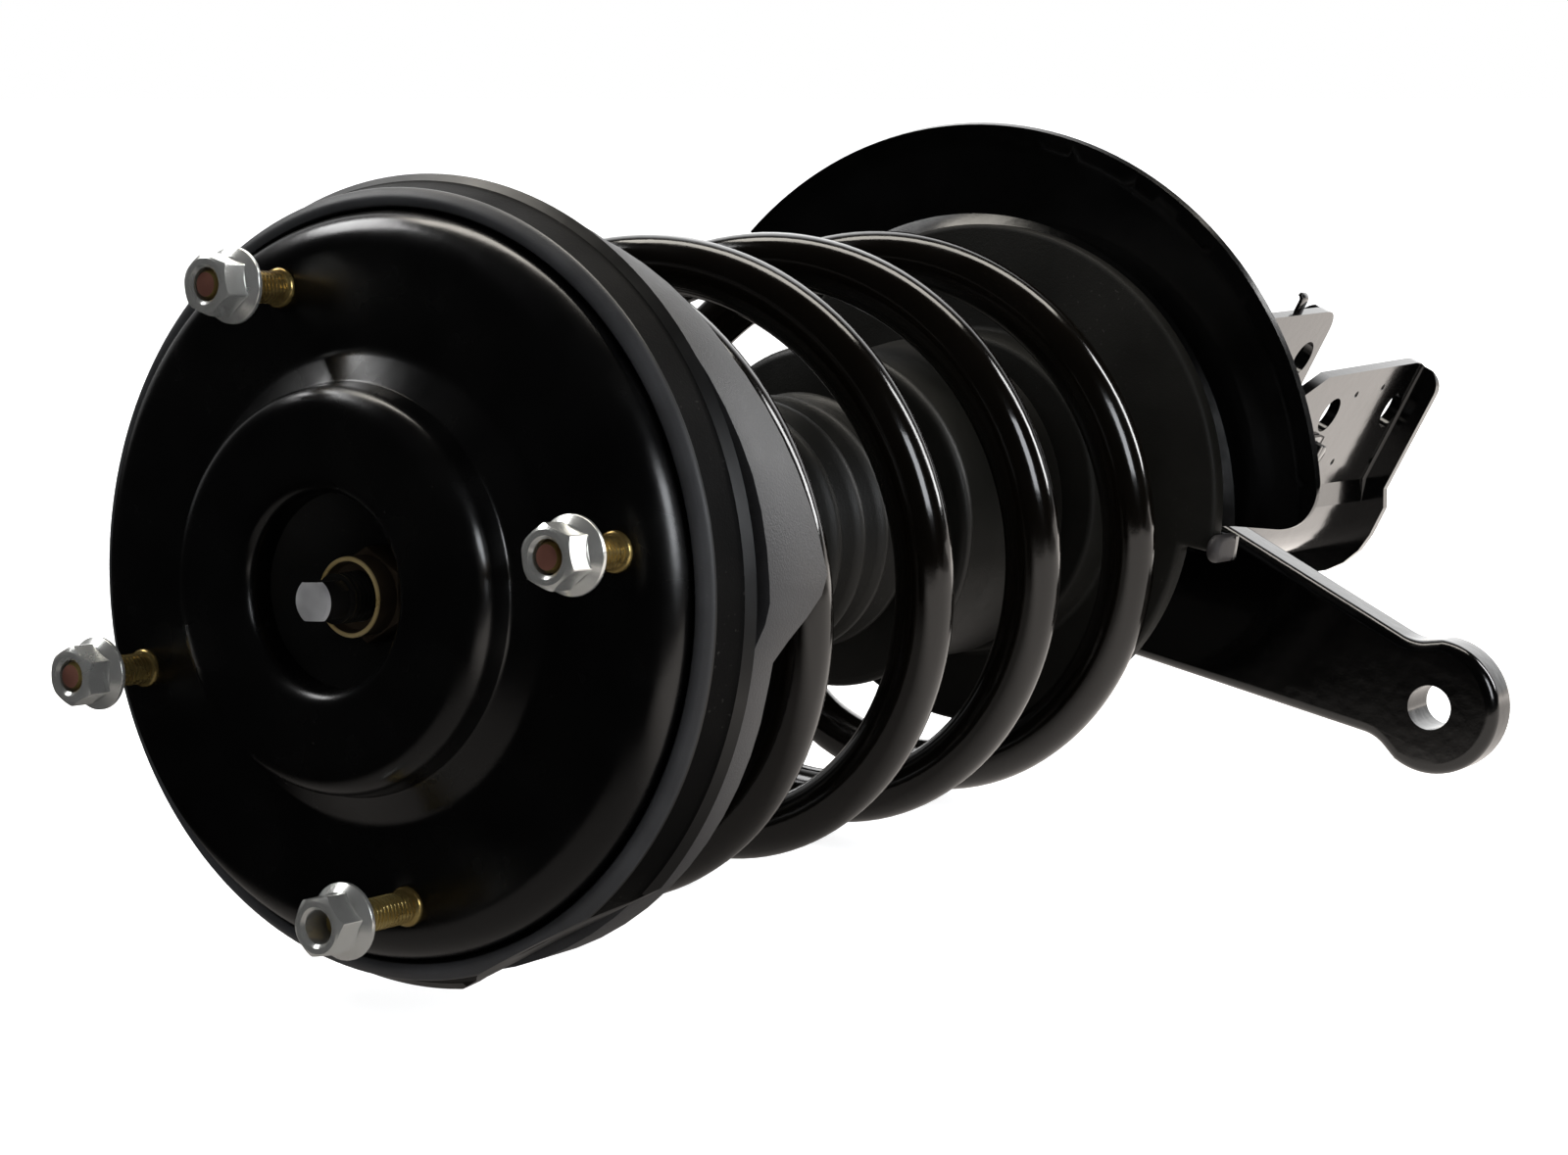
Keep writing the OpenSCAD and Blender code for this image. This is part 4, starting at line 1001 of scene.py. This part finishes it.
# %% Lower seat and its tongue
# The CAD's tongue is cut off the seat, and a rounded one stands in its place.
BROAD_FROM, PAD_R = 19.5, 82.5     # where the broad part of the lower isolator starts, and its radius
TONGUE_R, TONGUE_W, TONGUE_T = PAD_R + 0.1, 8.4, 4.0
TONGUE_LOW, TONGUE_HIGH = -273.7, -259.7
to_tongue = shift(SEAT_X, SEAT_Y, 0) @ about("Z", BROAD_FROM + 1.2)
half, high = TONGUE_W / 2, TONGUE_HIGH - TONGUE_LOW
low_pan = from_cad("lower_seat", "lower_seat_pan", 0.6)
old = block("old_tongue", (TONGUE_R - 0.05, -half - 1, TONGUE_LOW + 2.2),
            (TONGUE_R + TONGUE_T + 1, half + 1, TONGUE_HIGH + 1))
cut(low_pan, moved(old, to_tongue))
lobe = [(-half, 0), (half, 0), (half, high - half)]
lobe += arc((0, high - half), half, 0, 180, 16) + [(-half, high - half)]
tongue = cut_out("seat_tongue", lobe, 0, TONGUE_T, 1.9, 6)
stand = Matrix(((0, 0, 1, TONGUE_R * MM), (1, 0, 0, 0), (0, 1, 0, TONGUE_LOW * MM), (0, 0, 0, 1)))
dress(shade(moved(tongue, to_tongue @ stand), 50), TONGUE_COAT, "strut", "rubber")
dress(shade(low_pan, 40), TUBE_PAINT, "strut", "black_paint", "lower_seat")
print("tongue:", TONGUE_W, "mm wide and", round(high, 1), "mm high")

# %% Guard
# Its lower corner is rounded more than in CAD, by a cutter that follows the round.
GUARD_FROM, GUARD_ROUND, GUARD_MIDDLE = 28.8, 14.0, (0, 5.4)
guard = from_cad("guard_plate", "guard_sheet")
GUARD_R = max(math.hypot(v.co.x / MM, v.co.y / MM - GUARD_MIDDLE[1]) for v in guard.data.vertices)
corner_turn = GUARD_FROM + math.degrees(math.asin(GUARD_ROUND / (GUARD_R - GUARD_ROUND)))
middle = on_circle(GUARD_R - GUARD_ROUND, corner_turn, GUARD_MIDDLE)
waste = arc(middle, GUARD_ROUND, GUARD_FROM - 90, corner_turn, 24)
for radius, turn in ((GUARD_R + 5, corner_turn), (GUARD_R + 5, GUARD_FROM - 4),
                     (GUARD_R - 2 * GUARD_ROUND, GUARD_FROM - 4)):
    waste.append(on_circle(radius, turn, GUARD_MIDDLE))
cut(guard, cut_out("waste", waste, -290, -268))
edge(guard, 0.5, 3, 40)
dress(shade(guard, 38, flat=True), TUBE_PAINT, "strut", "black_paint", "guard_plate")
print("guard:", len(guard.data.polygons), "faces")

# %% [markdown]
# ## Steering arm and clevis
# The arm is a forging: its edges are rounded by a few millimetres, which draws one long bright
# line along it and a bright rim round the eye. The clevis is bent from sheet, so its edges are
# tighter, and it has four small dimples beside the bolt holes.

# %% Arm
ARM_TURN, ARM_TOP, ARM_T, ARM_LENGTH = 9.7, -318.0, 16.0, 152.0
EYE_R, EYE_HOLE_R, ARM_COLLAR_R, TUBE_HOLE_R = 20.8, 6.8, 34.0, 22.6
MEET_X, MEET_Y = 138.8, 16.0       # where the arm's straight side meets the eye
side = rounded([(0, ARM_COLLAR_R), (MEET_X, MEET_Y), on_circle(EYE_R, 104, (ARM_LENGTH, 0))], [13], 8)
eye = arc((ARM_LENGTH, 0), EYE_R, 102, -102, 48)
back = arc((0, 0), ARM_COLLAR_R, 265, 95, 40)
outline = side + eye + [(x, -y) for x, y in side[::-1]] + back
arm = cut_out("steering_arm_forging", outline, ARM_TOP - ARM_T, ARM_TOP, 3.6, 6)
cut(arm, rod("eye_hole", EYE_HOLE_R, ARM_TOP - ARM_T - 2, ARM_TOP + 2, 64, (ARM_LENGTH, 0)))
cut(arm, rod("tube_hole", TUBE_HOLE_R, ARM_TOP - ARM_T - 2, ARM_TOP + 2, 128))
edge(arm, 0.5, 2, 60)
moved(arm, about("Z", ARM_TURN))
dress(shade(healed(arm, 2e-6, 12), 40, flat=True), ARM_PAINT, "strut", "black_paint", "steering_arm")
print("arm:", len(arm.data.polygons), "faces")

# %% Clevis
# The lip turns out of the ear by a round bend, and its outer corners are rounded off.
CLEVIS_TURN = about("Z", 2.5)
EAR_X, EAR_Y, LIP_W, CLEVIS_LOW, CLEVIS_T = 23.0, 64.8, 9.5, -552.7, 4.0
DIMPLES = (52.2, -495.8), (54.7, -518.8), (22.7, -506.8), (21.2, -546.8)
DIMPLE_R, DIMPLE_X = 1.7, 23.9
clevis = moved(from_cad("clevis_bracket", "clevis_sheet"), CLEVIS_TURN.inverted())
for sign in (-1, 1):
    inner = arc((EAR_X, EAR_Y - LIP_W), LIP_W, 0, 90, 12)
    outer = [(EAR_X, EAR_Y + 3), (EAR_X + LIP_W + 3, EAR_Y + 3), (EAR_X + LIP_W + 3, EAR_Y - LIP_W)]
    corner = [(sign * x, y) for x, y in inner + outer]
    cut(clevis, cut_out("corner", corner, CLEVIS_LOW - 2, CLEVIS_LOW + CLEVIS_T + 3))
    for y, z in DIMPLES:
        bpy.ops.mesh.primitive_uv_sphere_add(segments=24, ring_count=16, radius=DIMPLE_R * MM,
                                             location=(sign * DIMPLE_X * MM, y * MM, z * MM))
        cut(clevis, settle(named("dimple")))
lip_top = CLEVIS_LOW + CLEVIS_T
round_edges(clevis, 1.3, 4, lambda p: abs(p.z - lip_top) < 0.1 and abs(p.x) < 27.5 and p.y > 4)
round_edges(clevis, 1.5, 4, lambda p: abs(p.x) > EAR_X + 1 and p.z < lip_top + 0.1 and p.y > 4
            and (abs(p.z - lip_top) < 0.1 or abs(p.z - CLEVIS_LOW) < 0.1))
edge(clevis, 0.5, 2, 50)
moved(clevis, CLEVIS_TURN)
dress(shade(clevis, 24, flat=True), BRACKET_PAINT, "strut", "black_paint", "clevis_bracket")

# %% Hook and clip
# The hook is a strip that curls outwards at its free end.
HOOK_X, HOOK_T, HOOK_LOW, HOOK_HIGH = -EAR_X - 0.9, 1.4, -528.4, -522.4
middle = [(HOOK_X, EAR_Y - 7), (HOOK_X, EAR_Y + 2.2)] + arc((-EAR_X - 3.2, EAR_Y + 2.2), 2.3, 8, 78, 8)
strip = beside(middle, -HOOK_T / 2) + beside(middle, HOOK_T / 2)[::-1]
hook = moved(cut_out("hose_hook", strip, HOOK_LOW, HOOK_HIGH, 0.3, 2), CLEVIS_TURN)
dress(shade(hook, 40), BRACKET_PAINT, "strut", "black_paint", "hose_tab")
softened("cable_clip", "cable_clip_plate", (0.4, 3, 40), BRACKET_PAINT, "strut", "black_paint")
print("clevis:", len(clevis.data.polygons), "faces")

# %% [markdown]
# ## The rest of the damper
# The tube, its cap and the pieces inside keep their CAD shapes. Those that can be seen get a
# merged copy with soft edges, and the hidden ones only a finish. A weld bead runs round the tube
# on either face of the arm: it is a thin ring with a rounded outer face.

# %% Tube
for node, name, width in (("strut_tube", "strut_tube_shell", 0.3), ("tube_cap", "tube_cap_shell", 0.5),
                          ("tube_base", "tube_base_plug", 0.5)):
    softened(node, name, (width, 2, 40), TUBE_PAINT, "strut", "black_paint")
print("tube made")

# %% Weld beads
TUBE_R, BEAD_W, BEAD_H, BEAD_GAP = 22.5, 3.2, 2.8, 0.1
BEAD_FACE = [(3.0 * math.cos(turn), BEAD_GAP + 2.6 * math.sin(turn)) for turn in (0.5, 0.8, 1.1, 1.4)]
bead_inner = TUBE_R + 0.15
for i, (level, way) in enumerate(((ARM_TOP, 1), (ARM_TOP - ARM_T, -1))):
    line = [(bead_inner, level + way * BEAD_GAP), (TUBE_R + BEAD_W, level + way * BEAD_GAP)]
    line += [(bead_inner + out, level + way * up) for out, up in BEAD_FACE]
    line += [(bead_inner, level + way * BEAD_H), line[0]]
    bead = turned(f"weld_bead_{i + 1}", line)
    dress(shade(bead, 50), DULL_PAINT_AND_SHADE, "strut", "black_paint")
print("weld beads:", BEAD_W, "mm wide")

# %% Stop, bush and hidden pieces
softened("bump_stop", "bump_stop_foam", (0.8, 3, 30), BUMP_FOAM, "top_mount", "foam", 50)
# The bush's near-black colour is painted shade inside the mouth.
softened("mount_rubber", "bush", (0.4, 2, 30), BUSH_PAINTED_SHADE_RUBBER, "top_mount", "rubber", 50)
softened("bearing_carrier", "carrier", (0.4, 2, 40), CARRIER_PLASTIC, "top_mount", "black_plastic")

KEPT = (
    (PLAIN_STEEL, ("mount_sleeve", "bearing_upper_race", "bearing_lower_race", "bearing_balls",
                   "piston_nut", "inner_cylinder")),
    (SINTERED, ("piston", "rod_guide", "base_valve")),
    (CAGE_PLASTIC, ("bearing_cage", "piston_ring")),
    (BUMP_FOAM, ("rebound_stop",)),
    (BUSH_PAINTED_SHADE_RUBBER, ("rod_seal",)),
)
for finish, nodes in KEPT:
    for node in nodes:
        mesh = frame["nodes"][node].data
        mesh.materials.clear()
        mesh.materials.append(finish)
print("kept nodes:", sum(len(nodes) for finish, nodes in KEPT))

# %% Size against the CAD
shown_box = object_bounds()
corners = {"cad": [list(corner) for corner in cad_box], "visual": [list(corner) for corner in shown_box]}
for shown, drawn in zip(corners["visual"], corners["cad"]):
    print("corner against CAD, mm:", [round((a - b) / MM, 2) for a, b in zip(shown, drawn)])
